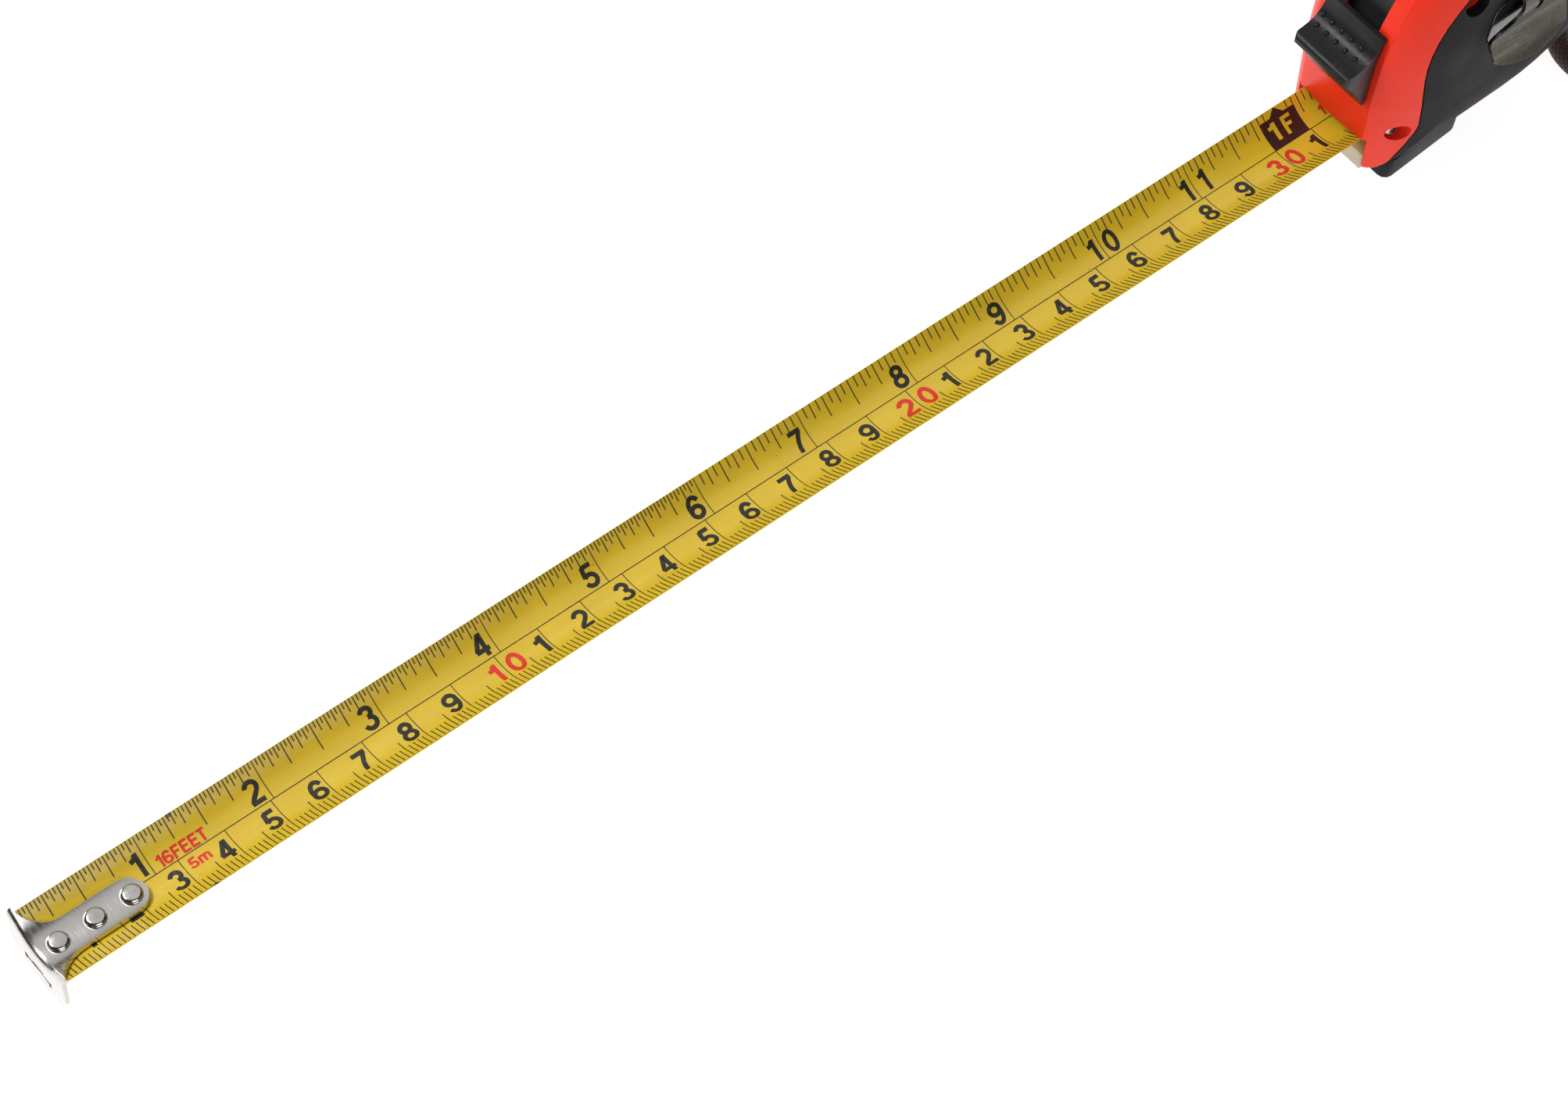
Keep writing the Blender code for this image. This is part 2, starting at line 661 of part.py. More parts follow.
def nose_block():
    """The thread block beside the mouth, joined to the nose wall."""
    x, z = SCREW_PLACES["screw_front_lower"]
    front = NOSE_FACE + BAND_WALL / 2
    outline = rounded(box_corners(front, x + NOSE_BLOCK_HALF, MOUTH_EDGE_Z + 0.6 * MM, z + NOSE_BLOCK_HALF, 0.6 * MM), 2)
    return prism("nose_block", outline, -SEAM_Y + TOUCH_GAP, -SEAM_Y + NOSE_SCREW_LENGTH + 0.6 * MM)


def case_cover():
    """The near half, which closes the case at the seam."""
    cover = case_solid("case_cover", -1, 0.0, -SEAM_Y)
    skin = RUBBER + TOUCH_GAP + SIDE_WALL
    boolean(cover, case_solid("near_hollow", -1, skin, -SEAM_Y + CUT_OVER))
    end = -CASE_HALF + RUBBER + SIDE_WALL
    boolean(cover, cylinder("near_post_boss", (REEL_X, REEL_Z), POST_BOSS, end, -POST_BOSS_Y, 28), "UNION")
    for name, place in SCREW_PLACES.items():
        if name != "screw_front_lower":
            boolean(cover, boss(name + "_seat", place, SCREW_SEAT, -1, -SEAM_Y, -SCREW_SEAT_Y - 0.8 * MM), "UNION")
    boolean(cover, rubber_room("near_rubber_room", -1))
    boss_end = -CLIP_SEAT_Y + TOUCH_GAP
    boolean(cover, cylinder("clip_boss", (CLIP_X, CLIP_SCREW_Z), CLIP_BOSS, -SCREW_SEAT_Y, boss_end, 32), "UNION")
    nut = CLIP_NUT + RUN_GAP
    boolean(cover, cylinder("nut_socket", (CLIP_X, CLIP_SCREW_Z), nut, boss_end - CUT_OVER,
                            boss_end + CLIP_NUT_LONG + RUN_GAP, 6))
    boolean(cover, mouth_cutter_near())
    post = POST_RADIUS + RUN_GAP
    boolean(cover, cylinder("near_post_socket", (REEL_X, REEL_Z), post, -POST_HALF - RUN_GAP, 0, 24))
    screw_holes(cover, "cover")
    return finish(cover, material("case_orange", ORANGE, 0.3))


def mouth_cutter_near():
    """Takes the cover's inner face back beside the blade."""
    outline = rounded(box_corners(NOSE_FACE - 5 * MM, MOUTH_BACK, CASE_BOTTOM - CUT_OVER, MOUTH_EDGE_Z, 0.3 * MM), 1)
    return prism("mouth_near", outline, -MOUTH_HALF, MOUTH_HALF)


def rubber_cover(name, side):
    rubber = rubber_space(name, side, RUBBER, RUBBER_EDGE_Y, 0.0)
    boolean(rubber, foot_room(name + "_foot_room"))
    if side < 0:
        for screw, place in SCREW_PLACES.items():
            if screw != "screw_front_lower":
                room = SCREW_RECESS + TOUCH_GAP
                boolean(rubber, cylinder(screw + "_rubber_hole", place, room, -CASE_HALF - 3 * MM, 0, 20))
        ring = CLIP_BOSS + TOUCH_GAP
        boolean(rubber, cylinder("clip_boss_room", (CLIP_X, CLIP_SCREW_Z), ring, -CASE_HALF - 3 * MM, 0, 32))
        x0, x1, z0, z1 = NEAR_LABEL
        radius = NEAR_LABEL_RADIUS + TOUCH_GAP
        outline = rounded(box_corners(x0 - TOUCH_GAP, x1 + TOUCH_GAP, z0 - TOUCH_GAP, z1 + TOUCH_GAP, radius), 5)
        boolean(rubber, prism("near_label_room", outline, -CASE_HALF - 3 * MM, -CASE_HALF + LABEL_DEEP + TOUCH_GAP))
    else:
        centre = (REEL_X, REEL_Z)
        radius = FAR_LABEL_RADIUS + TOUCH_GAP
        boolean(rubber, cylinder("far_label_room", centre, radius, CASE_HALF - LABEL_DEEP - TOUCH_GAP, CASE_HALF + 3 * MM, 40))
    return finish(rubber, material("rubber_black", BLACK_RUBBER, 0.62))


def foot_outline(grow=0.0):
    """Plan of the foot as (x, y): a wide front and a narrow tail."""
    front, wide_back, back = FOOT_FRONT - grow, FOOT_WIDE_BACK + grow, FOOT_BACK + grow
    half, half_back, tail = FOOT_HALF + grow, FOOT_HALF_BACK + grow, FOOT_TAIL_HALF + grow
    r = FOOT_RADIUS
    return rounded([
        (front, -half, r), (wide_back, -half_back, r), (wide_back, -tail, 0.5 * MM), (back, -tail, r),
        (back, tail, r), (wide_back, tail, 0.5 * MM), (wide_back, half_back, r), (front, half, r),
    ], (3, 3, 1, 3, 3, 1, 3, 3))


def foot_block(name, grow, z_top):
    rings = [[(x, y, z) for x, y in foot_outline(grow)] for z in (0.0 - 4 * grow, z_top)]
    return add_object(name, loft(rings))


def foot_room(name):
    return foot_block(name, TOUCH_GAP, FOOT_FLANK_TOP + TOUCH_GAP)


def base_foot():
    """The foot under the front of the case, with flanks that reach up beside it."""
    foot = foot_block("base_foot", 0.0, FOOT_FLANK_TOP)
    for side in (-1, 1):
        gap = TOUCH_GAP
        core = case_solid(f"foot_core_{side + 1}", side, -gap, -side * 0.5 * MM)
        boolean(foot, core)
    return finish(foot, material("foot_rubber", BLACK_RUBBER, 0.6))


def blade_guide():
    """The ivory block under the blade, with a step along its front."""
    outline = [
        (GUIDE_FRONT, GUIDE_LOW_Z), (GUIDE_BACK, GUIDE_LOW_Z), (GUIDE_BACK, GUIDE_TOP_Z),
        (GUIDE_FRONT + GUIDE_LEDGE, GUIDE_TOP_Z), (GUIDE_FRONT, GUIDE_LEDGE_Z),
    ]
    half = MOUTH_HALF - TOUCH_GAP
    guide = prism("blade_guide", outline, -half, half)
    boolean(guide, foot_room("guide_foot_room"))
    return finish(guide, material("guide_ivory", IVORY, 0.45))


# Lock


def thumb_lock():
    """The slider: a base plate on the nose with a scooped lip, and the stem through the slot."""
    axis = (lock_axis()[0], 0, lock_axis()[1])
    face = NOSE_FACE - TOUCH_GAP
    under = [(face, LOCK_LOW_Z), (face, TRACK_Z)]
    under += arc_points(TRACK_RADIUS + TOUCH_GAP, TRACK_Z, LOCK_HIGH_Z, 5)[1:]
    top = arc_points(TRACK_RADIUS + LOCK_PLATE, LOCK_SCOOP_TOP_Z, LOCK_HIGH_Z, 2)[::-1]
    lip = Vector(LOCK_LIP)
    start = Vector(top[-1])
    scoop = []
    for k in range(1, 7):
        share = k / 7
        point = start.lerp(lip + Vector((0, LOCK_LIP_RADIUS)), share)
        sag = 1.5 * MM * sin(pi * share)
        scoop.append((point.x + sag * 0.7, point.y - sag * 0.7))
    nose = []
    for k in range(6):
        angle = pi / 2 + (pi * 0.62) * k / 5
        nose.append((lip.x + LOCK_LIP_RADIUS * cos(angle), lip.y + LOCK_LIP_RADIUS * sin(angle)))
    outline = under + top + scoop + nose + list(LOCK_CHIN)
    lock = prism("thumb_lock", outline, -LOCK_HALF, LOCK_HALF, axis)
    inner = TRACK_RADIUS - BAND_WALL - 2 * TOUCH_GAP
    stem = arc_points(TRACK_RADIUS + LOCK_PLATE / 2, STEM_LOW_Z, STEM_HIGH_Z, 4)
    stem += arc_points(inner, STEM_LOW_Z, STEM_HIGH_Z, 4)[::-1]
    boolean(lock, lock_plan(), "INTERSECT")
    boolean(lock, prism("lock_stem", stem, -STEM_HALF, STEM_HALF), "UNION")
    return finish(lock, material("lock_black", BLACK_PLASTIC, 0.35))


def lock_plan():
    """The slider seen from above, with rounded front corners."""
    front, back = LOCK_LIP[0] - LOCK_LIP_RADIUS - 0.3 * MM, NOSE_FACE + 5 * MM
    corners = [
        (front, -LOCK_HALF, LOCK_CORNER), (back, -LOCK_HALF, 0.5 * MM),
        (back, LOCK_HALF, 0.5 * MM), (front, LOCK_HALF, LOCK_CORNER),
    ]
    rings = [[(x, y, z) for x, y in rounded(corners, 5)] for z in (LOCK_LOW_Z - 2 * MM, LOCK_HIGH_Z + 2 * MM)]
    return add_object("lock_plan", loft(rings))


def lock_retainer():
    """The plate inside the nose that the stem clips into."""
    outer = TRACK_RADIUS - BAND_WALL - 3 * TOUCH_GAP
    low, high = RETAINER_LOW_Z, RETAINER_HIGH_Z
    outline = arc_points(outer, low, high, 12) + arc_points(outer - RETAINER_THICK, low, high, 12)[::-1]
    axis = (lock_axis()[0], 0, lock_axis()[1])
    plate = prism("lock_retainer", outline, -RETAINER_HALF, RETAINER_HALF, axis)
    return finish(plate, material("lock_plastic", BLACK_PLASTIC, 0.4))


def lock_wedge():
    """The brake tongue that reaches down behind the mouth and bears on the blade."""
    outer = TRACK_RADIUS - BAND_WALL - 4 * TOUCH_GAP - RETAINER_THICK
    high = STEM_HIGH_Z
    outline = arc_points(outer, WEDGE_TIP_Z, high, 12) + arc_points(outer - WEDGE_THICK, WEDGE_TIP_Z, high, 12)[::-1]
    axis = (lock_axis()[0], 0, lock_axis()[1])
    wedge = prism("lock_wedge", outline, -WEDGE_HALF, WEDGE_HALF, axis)
    return finish(wedge, material("lock_plastic", BLACK_PLASTIC, 0.4))


# Reel


def reel_drum():
    """The hub: a rim that the blade winds on, one web, and a bearing sleeve."""
    rim = DRUM_OUTER - DRUM_WALL
    bore = POST_RADIUS + RUN_GAP
    web = DRUM_HALF - DRUM_WEB
    sleeve = SPRING_INNER - SPRING_THICK - TOUCH_GAP
    profile = [
        (DRUM_OUTER, -DRUM_HALF), (DRUM_OUTER, DRUM_HALF), (bore, DRUM_HALF),
        (bore, -SPRING_HALF + 0.4 * MM), (sleeve, -SPRING_HALF + 0.4 * MM), (sleeve, web), (rim, web),
        (rim, -DRUM_HALF),
    ]
    drum = turned("reel_drum", profile, (REEL_X, REEL_Z), 48, (REEL_X, 0, REEL_Z))
    return finish(drum, material("reel_plastic", (0.55, 0.55, 0.56), 0.5))


def blade_coil():
    """The wound part of the blade."""
    half = BLADE_WIDTH / 2
    profile = [(COIL_OUTER, -half), (COIL_OUTER, half), (COIL_INNER, half), (COIL_INNER, -half)]
    coil = turned("blade_coil", profile, (REEL_X, REEL_Z), 64, (REEL_X, 0, REEL_Z))
    return finish(coil, material("blade_yellow", YELLOW, 0.35))


def main_spring():
    """The spiral spring inside the hub."""
    steps = 20 * SPRING_TURNS
    inner, outer = [], []
    for k in range(steps + 1):
        angle = 2 * pi * SPRING_TURNS * k / steps
        radius = SPRING_INNER + SPRING_PITCH * SPRING_TURNS * k / steps
        for line, r in ((inner, radius), (outer, radius + SPRING_THICK)):
            line.append((REEL_X + r * cos(angle), REEL_Z + r * sin(angle)))
    spring = prism("main_spring", inner + outer[::-1], -SPRING_HALF, SPRING_HALF - 0.4 * MM, (REEL_X, 0, REEL_Z))
    return finish(spring, material("spring_steel", SPRING_STEEL, 0.35, 1.0))


def spring_cover():
    """The disc that keeps the spring in the hub."""
    outer = DRUM_OUTER - DRUM_WALL - TOUCH_GAP
    inner = POST_RADIUS + RUN_GAP
    y = -DRUM_HALF
    profile = [(outer, y), (outer, y + SPRING_COVER), (inner, y + SPRING_COVER), (inner, y)]
    cover = turned("spring_cover", profile, (REEL_X, REEL_Z), 40, (REEL_X, 0, REEL_Z))
    return finish(cover, material("spring_cover_steel", STEEL, 0.4, 1.0))


def centre_post():
    """The fixed arbor that the reel turns on."""
    post = cylinder("centre_post", (REEL_X, REEL_Z), POST_RADIUS, -POST_HALF, POST_HALF, 28)
    return finish(post, material("post_steel", STEEL, 0.35, 1.0))


# Screws, clip, strap, labels


def case_screw(name):
    """A pan-head screw, its head in the cover's recess and its shank in the body's boss."""
    place = SCREW_PLACES[name]
    depth = NOSE_SCREW_LENGTH if name == "screw_front_lower" else SCREW_LENGTH
    head_low = -SCREW_SEAT_Y - RUN_GAP
    head_top = head_low - SCREW_HEAD_HIGH
    profile = [
        (0.0, head_top), (SCREW_HEAD * 0.75, head_top), (SCREW_HEAD, head_top + 0.5 * MM), (SCREW_HEAD, head_low),
        (SCREW_SHANK, head_low), (SCREW_SHANK, -SEAM_Y + depth - 1 * MM), (0.0, -SEAM_Y + depth),
    ]
    screw = turned(name, profile, place, 20)
    cross = 0.3 * MM
    arm = SCREW_HEAD * 0.6
    for tag, wide, tall in (("a", arm, cross), ("b", cross, arm)):
        outline = rounded(box_corners(place[0] - wide, place[0] + wide, place[1] - tall, place[1] + tall, 0.1 * MM), 1)
        boolean(screw, prism(f"{name}_cross_{tag}", outline, head_top - CUT_OVER, head_top + 0.8 * MM))
    return finish(screw, material("screw_steel", STEEL, 0.3, 1.0))


def clip_outline():
    """Front view of the clip as (x, z), symmetric about its arm."""
    right = []
    seat_z = CLIP_SCREW_Z
    for k in range(9):
        angle = pi / 2 - (pi / 2) * k / 8
        right.append((CLIP_SEAT_HALF * cos(angle), seat_z + CLIP_SEAT_HALF * sin(angle)))
    right.append((CLIP_ARM_HALF, seat_z - 4 * MM))
    for k in range(8):
        share = k / 7
        x = CLIP_ARM_HALF + (CLIP_LIP_HALF - CLIP_ARM_HALF) * share ** 2
        right.append((x, CLIP_BULGE_Z + (CLIP_FOLD_Z - 0.6 * MM - CLIP_BULGE_Z) * share))
    corner = CLIP_FOLD_Z - 3.2 * MM
    for k in range(8):
        x = (CLIP_LIP_HALF - 1.2 * MM) * (1 - k / 7)
        right.append((x, CLIP_LOW_Z + (corner - CLIP_LOW_Z) * (x / (CLIP_LIP_HALF - 1.2 * MM)) ** 2))
    left = [(-x, z) for x, z in right[1:-1]][::-1]
    return [(CLIP_X + x, z) for x, z in right + left]


def clip_strip():
    """Side view of the bent strip, drawn out along X past the clip's width."""
    middle = [
        (CLIP_SEAT_Y, CLIP_SCREW_Z + 7 * MM), (CLIP_SEAT_Y, CLIP_SCREW_Z - 5 * MM),
        (CLIP_BULGE_Y - 0.6 * MM, CLIP_BULGE_Z + 1.5 * MM), (CLIP_BULGE_Y, CLIP_BULGE_Z - 1.5 * MM),
        (CLIP_FOLD_Y + 0.2 * MM, CLIP_FOLD_Z + 1 * MM), (CLIP_FOLD_Y + 0.2 * MM, CLIP_FOLD_Z - 0.5 * MM),
        (CLIP_LIP_Y, CLIP_LOW_Z - 1 * MM),
    ]
    inner, outer = [], []
    for i, (y, z) in enumerate(middle):
        a = Vector(middle[max(i - 1, 0)])
        b = Vector(middle[min(i + 1, len(middle) - 1)])
        along = (b - a).normalized()
        normal = Vector((-along.y, along.x))
        inner.append((-y, z))
        outer.append((-(y + CLIP_THICK * normal.x), z + CLIP_THICK * normal.y))
    ring = inner + outer[::-1]
    rings = [[(x, y, z) for y, z in ring] for x in (CLIP_X - 14 * MM, CLIP_X + 14 * MM)]
    return loft(rings)


def belt_clip():
    """A folded steel clip: seat, bowed arm with a tapered slot, fold and flared lip."""
    hinge = (CLIP_X, -CLIP_SEAT_Y, CLIP_SCREW_Z + CLIP_SEAT_HALF)
    clip = add_object("belt_clip", clip_strip(), hinge)
    boolean(clip, prism("clip_plan", clip_outline(), -CLIP_LIP_Y - 6 * MM, 0), "INTERSECT")
    hole = CLIP_SCREW_SHANK + TOUCH_GAP
    boolean(clip, cylinder("clip_hole", (CLIP_X, CLIP_SCREW_Z), hole, -CLIP_LIP_Y - 6 * MM, 0, 20))
    slot = rounded([
        (CLIP_X, CLIP_FOLD_Z + 5 * MM, 0.5 * MM), (CLIP_X + 2 * MM, CLIP_BULGE_Z + 2 * MM, 0.6 * MM),
        (CLIP_X - 2 * MM, CLIP_BULGE_Z + 2 * MM, 0.6 * MM),
    ], 3)
    boolean(clip, prism("clip_slot", slot, -CLIP_LIP_Y - 6 * MM, 0))
    return finish(clip, material("clip_steel", STEEL, 0.28, 1.0))


def clip_screw():
    """A pan-head machine screw through the clip into the nut."""
    head_low = -CLIP_SEAT_Y - CLIP_THICK - CLIP_SCREW_LIFT
    head_top = head_low - CLIP_SCREW_HEAD_HIGH
    end = -CLIP_SEAT_Y + 2 * MM
    profile = [
        (0.0, head_top), (CLIP_SCREW_HEAD * 0.7, head_top), (CLIP_SCREW_HEAD, head_top + 0.6 * MM),
        (CLIP_SCREW_HEAD, head_low), (CLIP_SCREW_SHANK, head_low), (CLIP_SCREW_SHANK, end), (0.0, end),
    ]
    screw = turned("clip_screw", profile, (CLIP_X, CLIP_SCREW_Z), 24)
    return finish(screw, material("screw_steel", STEEL, 0.3, 1.0))


def clip_nut():
    """The six-sided threaded insert in the cover's boss."""
    start = -CLIP_SEAT_Y + TOUCH_GAP + RUN_GAP
    nut = cylinder("clip_nut", (CLIP_X, CLIP_SCREW_Z), CLIP_NUT, start, start + CLIP_NUT_LONG - RUN_GAP, 6)
    bore = CLIP_SCREW_SHANK + RUN_GAP
    boolean(nut, cylinder("nut_bore", (CLIP_X, CLIP_SCREW_Z), bore, start - CUT_OVER, start + CLIP_NUT_LONG, 20))
    return finish(nut, material("nut_brass", (0.7, 0.5, 0.2), 0.35, 1.0))


def strap_pin():
    pin = cylinder("strap_pin", PIN_PLACE, PIN_RADIUS, -PIN_HALF, PIN_HALF, 16)
    return finish(pin, material("screw_steel", STEEL, 0.3, 1.0))


def smooth_route(points, step):
    """Points about a step apart on a Catmull-Rom curve through the given points."""
    route = [Vector(p) * MM for p in points]
    ends = [route[0] * 2 - route[1]] + route + [route[-1] * 2 - route[-2]]
    made = [route[0]]
    for a, b, c, d in zip(ends, ends[1:], ends[2:], ends[3:]):
        count = max(1, ceil((c - b).length / step))
        for k in range(1, count + 1):
            t = k / count
            made.append(0.5 * (
                2 * b + (c - a) * t + (2 * a - 5 * b + 4 * c - d) * t ** 2 + (3 * b - a - 3 * c + d) * t ** 3
            ))
    return made


def wrist_strap():
    """The carrying loop, both ends on the strap pin, lying on the floor behind the case."""
    points = smooth_route(STRAP_ROUTE, 2.2 * STRAP_WIDE)
    curve = bpy.data.curves.new("wrist_strap", "CURVE")
    curve.dimensions = "3D"
    curve.bevel_depth = STRAP_WIDE / 2
    curve.bevel_resolution = 2
    curve.use_fill_caps = True
    spline = curve.splines.new("POLY")
    spline.points.add(len(points) - 1)
    for point, place in zip(spline.points, points):
        point.co = (*place, 1.0)
    curve.materials.append(material("strap_black", STRAP_BLACK, 0.85))
    strap = bpy.data.objects.new("wrist_strap", curve)
    bpy.context.scene.collection.objects.link(strap)
    return strap


def side_labels():
    x0, x1, z0, z1 = NEAR_LABEL
    outline = rounded(box_corners(x0, x1, z0, z1, NEAR_LABEL_RADIUS), 5)
    inner = CASE_HALF - LABEL_DEEP
    near = prism("side_label_near", outline, -inner - LABEL_THICK, -inner)
    far = cylinder("side_label_far", (REEL_X, REEL_Z), FAR_LABEL_RADIUS, inner, inner + LABEL_THICK, 40)
    for label in (near, far):
        finish(label, material("label_gloss", LABEL_BLACK, 0.12))


def build():
    clear_scene()
    tape_blade()
    end_hook()
    for index in range(len(RIVET_X)):
        rivet(index)
    case_body()
    case_cover()
    rubber_cover("rubber_near", -1)
    rubber_cover("rubber_far", 1)
    base_foot()
    blade_guide()
    thumb_lock()
    lock_retainer()
    lock_wedge()
    reel_drum()
    blade_coil()
    main_spring()
    spring_cover()
    centre_post()
    for name in SCREW_PLACES:
        case_screw(name)
    belt_clip()
    clip_screw()
    clip_nut()
    strap_pin()
    wrist_strap()
    side_labels()


build()
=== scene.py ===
import math

import bmesh
import bpy
from mathutils import Matrix, Vector


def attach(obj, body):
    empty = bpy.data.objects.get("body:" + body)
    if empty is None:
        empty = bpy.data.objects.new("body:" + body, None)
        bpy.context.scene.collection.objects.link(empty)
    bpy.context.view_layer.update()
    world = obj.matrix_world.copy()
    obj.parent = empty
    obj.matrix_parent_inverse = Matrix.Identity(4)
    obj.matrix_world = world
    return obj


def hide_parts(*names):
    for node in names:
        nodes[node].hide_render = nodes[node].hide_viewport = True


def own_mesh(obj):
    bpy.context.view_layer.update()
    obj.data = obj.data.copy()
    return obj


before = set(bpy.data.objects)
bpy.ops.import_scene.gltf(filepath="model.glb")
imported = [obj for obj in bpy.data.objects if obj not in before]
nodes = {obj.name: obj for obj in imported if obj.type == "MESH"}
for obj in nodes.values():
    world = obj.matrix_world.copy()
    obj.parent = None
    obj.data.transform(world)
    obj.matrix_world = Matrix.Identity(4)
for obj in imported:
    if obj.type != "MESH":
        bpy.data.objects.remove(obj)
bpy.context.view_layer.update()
mm = 0.001


# camera and light

cameraPlace = {
    "target": (-0.18976, -0.01243, 0.0085),
    "distance": 0.7162,
    "azimuth": -45.44,
    "elevation": 57.41,
    "roll": 7.28,
    "lens": 86.888,
    "sensor": 36.0,
}

studio = {
    "floorSize": 12.0,
    "floorZ": 0.0,
    "floorColour": (0.5, 0.5, 0.5),
    "floorGlow": 0.9,
    "skyLow": 0.012,
    "skyHigh": 0.05,
    "lamps": (  # place, aimed at, size, watts
        ((-0.7, 0.5, 0.9), (-0.15, 0.0, 0.02), (0.55, 0.3), 9.5),
        ((-0.35, -0.8, 0.6), (-0.12, 0.0, 0.02), (0.7, 0.2), 2.3),
        ((0.07, 0.4, 0.9), (-0.25, 0.0, 0.02), (1.7, 1.7), 6.0),
    ),
}


def makeCamera():
    turn, lift, roll = (math.radians(cameraPlace[k]) for k in ("azimuth", "elevation", "roll"))
    back = Vector((math.sin(turn) * math.cos(lift), -math.cos(turn) * math.cos(lift), math.sin(lift)))
    level = Vector((math.cos(turn), math.sin(turn), 0))
    rise = back.cross(level)
    right = math.cos(roll) * level + math.sin(roll) * rise
    up = -math.sin(roll) * level + math.cos(roll) * rise
    data = bpy.data.cameras.new("camera")
    data.lens, data.sensor_width, data.sensor_fit = cameraPlace["lens"], cameraPlace["sensor"], "HORIZONTAL"
    data.clip_start = 0.01
    camera = bpy.data.objects.new("camera", data)
    bpy.context.scene.collection.objects.link(camera)
    place = Matrix((right, up, back)).transposed().to_4x4()
    place.translation = Vector(cameraPlace["target"]) + back * cameraPlace["distance"]
    camera.matrix_world = place
    bpy.context.scene.camera = camera


def makeStudio():
    world = bpy.data.worlds.new("studioWorld")
    world.use_nodes = True
    background = world.node_tree.nodes["Background"]
    tree = world.node_tree
    parts = tree.nodes.new("ShaderNodeSeparateXYZ")
    tree.links.new(tree.nodes.new("ShaderNodeTexCoord").outputs["Generated"], parts.inputs[0])
    rise = tree.nodes.new("ShaderNodeMapRange")  # dim at the horizon, bright overhead
    rise.inputs["From Min"].default_value, rise.inputs["From Max"].default_value = 0.1, 1.0
    rise.inputs["To Min"].default_value = studio["skyLow"]
    rise.inputs["To Max"].default_value = studio["skyHigh"]
    tree.links.new(parts.outputs["Z"], rise.inputs["Value"])
    seen = tree.nodes.new("ShaderNodeMath")  # the backdrop itself is plain white
    seen.operation = "MAXIMUM"
    tree.links.new(rise.outputs[0], seen.inputs[0])
    tree.links.new(tree.nodes.new("ShaderNodeLightPath").outputs["Is Camera Ray"], seen.inputs[1])
    tree.links.new(seen.outputs[0], background.inputs["Strength"])
    background.inputs["Color"].default_value = (1, 1, 1, 1)
    bpy.context.scene.world = world
    bpy.context.scene.view_settings.view_transform = "Standard"
    for number, (place, aim, size, watts) in enumerate(studio["lamps"]):
        data = bpy.data.lights.new(f"softLamp{number}", "AREA")
        data.shape, data.size, data.size_y, data.energy = "RECTANGLE", size[0], size[1], watts
        lamp = bpy.data.objects.new(f"softLamp{number}", data)
        bpy.context.scene.collection.objects.link(lamp)
        lamp.location = place
        lamp.rotation_euler = (Vector(aim) - Vector(place)).to_track_quat("-Z", "Y").to_euler()
    bpy.ops.mesh.primitive_plane_add(size=studio["floorSize"], location=(0, 0, studio["floorZ"]))
    floor = bpy.context.object
    floor.name = "floor"
    made = bpy.data.materials.new("paleFloor")
    made.use_nodes = True
    shader = made.node_tree.nodes["Principled BSDF"]
    shader.inputs["Base Color"].default_value = (*studio["floorColour"], 1)
    shader.inputs["Roughness"].default_value = 0.9
    shader.inputs["Specular IOR Level"].default_value = 0.0
    shader.inputs["Emission Color"].default_value = (1, 1, 1, 1)
    shader.inputs["Emission Strength"].default_value = studio["floorGlow"]
    floor.data.materials.append(made)


# shared effects, each a node group that gives a mask, a colour or a height


def newGroup(name, inputs, outputs):
    tree = bpy.data.node_groups.new(name, "ShaderNodeTree")
    for label, kind, value in inputs:
        socket = tree.interface.new_socket(name=label, in_out="INPUT", socket_type=kind)
        if value is not None:
            socket.default_value = value
    for label, kind in outputs:
        tree.interface.new_socket(name=label, in_out="OUTPUT", socket_type=kind)
    return tree, tree.nodes.new("NodeGroupInput"), tree.nodes.new("NodeGroupOutput")


def wire(tree, source, target):
    tree.links.new(source, target)


def mathNode(tree, kind, first, second=None, clamp=False):
    node = tree.nodes.new("ShaderNodeMath")
    node.operation, node.use_clamp = kind, clamp
    for socket, value in zip(node.inputs, (first, second)):
        if isinstance(value, bpy.types.NodeSocket):
            wire(tree, value, socket)
        elif value is not None:
            socket.default_value = value
    return node.outputs[0]


def noiseNode(tree, place, scale, detail=3.0, roughness=0.5):
    node = tree.nodes.new("ShaderNodeTexNoise")
    node.inputs["Detail"].default_value = detail
    node.inputs["Roughness"].default_value = roughness
    wire(tree, place, node.inputs["Vector"])
    if isinstance(scale, bpy.types.NodeSocket):
        wire(tree, scale, node.inputs["Scale"])
    else:
        node.inputs["Scale"].default_value = scale
    return node.outputs["Fac"]


def stretched(tree, place, scale, turn=(0, 0, 0)):
    node = tree.nodes.new("ShaderNodeMapping")
    node.inputs["Scale"].default_value = scale
    node.inputs["Rotation"].default_value = turn
    wire(tree, place, node.inputs["Vector"])
    return node.outputs["Vector"]


def rangeNode(tree, value, low, high, outLow=0.0, outHigh=1.0):
    node = tree.nodes.new("ShaderNodeMapRange")
    for socket, number in zip(node.inputs[1:5], (low, high, outLow, outHigh)):
        if isinstance(number, bpy.types.NodeSocket):
            wire(tree, number, socket)
        else:
            socket.default_value = number
    wire(tree, value, node.inputs[0])
    return node.outputs[0]


def mixColour(tree, share, first, second):
    node = tree.nodes.new("ShaderNodeMix")
    node.data_type = "RGBA"
    for index, value in ((0, share), (6, first), (7, second)):
        if isinstance(value, bpy.types.NodeSocket):
            wire(tree, value, node.inputs[index])
        elif index == 0:
            node.inputs[0].default_value = value
        else:
            node.inputs[index].default_value = (*value, 1)
    return node.outputs[2]


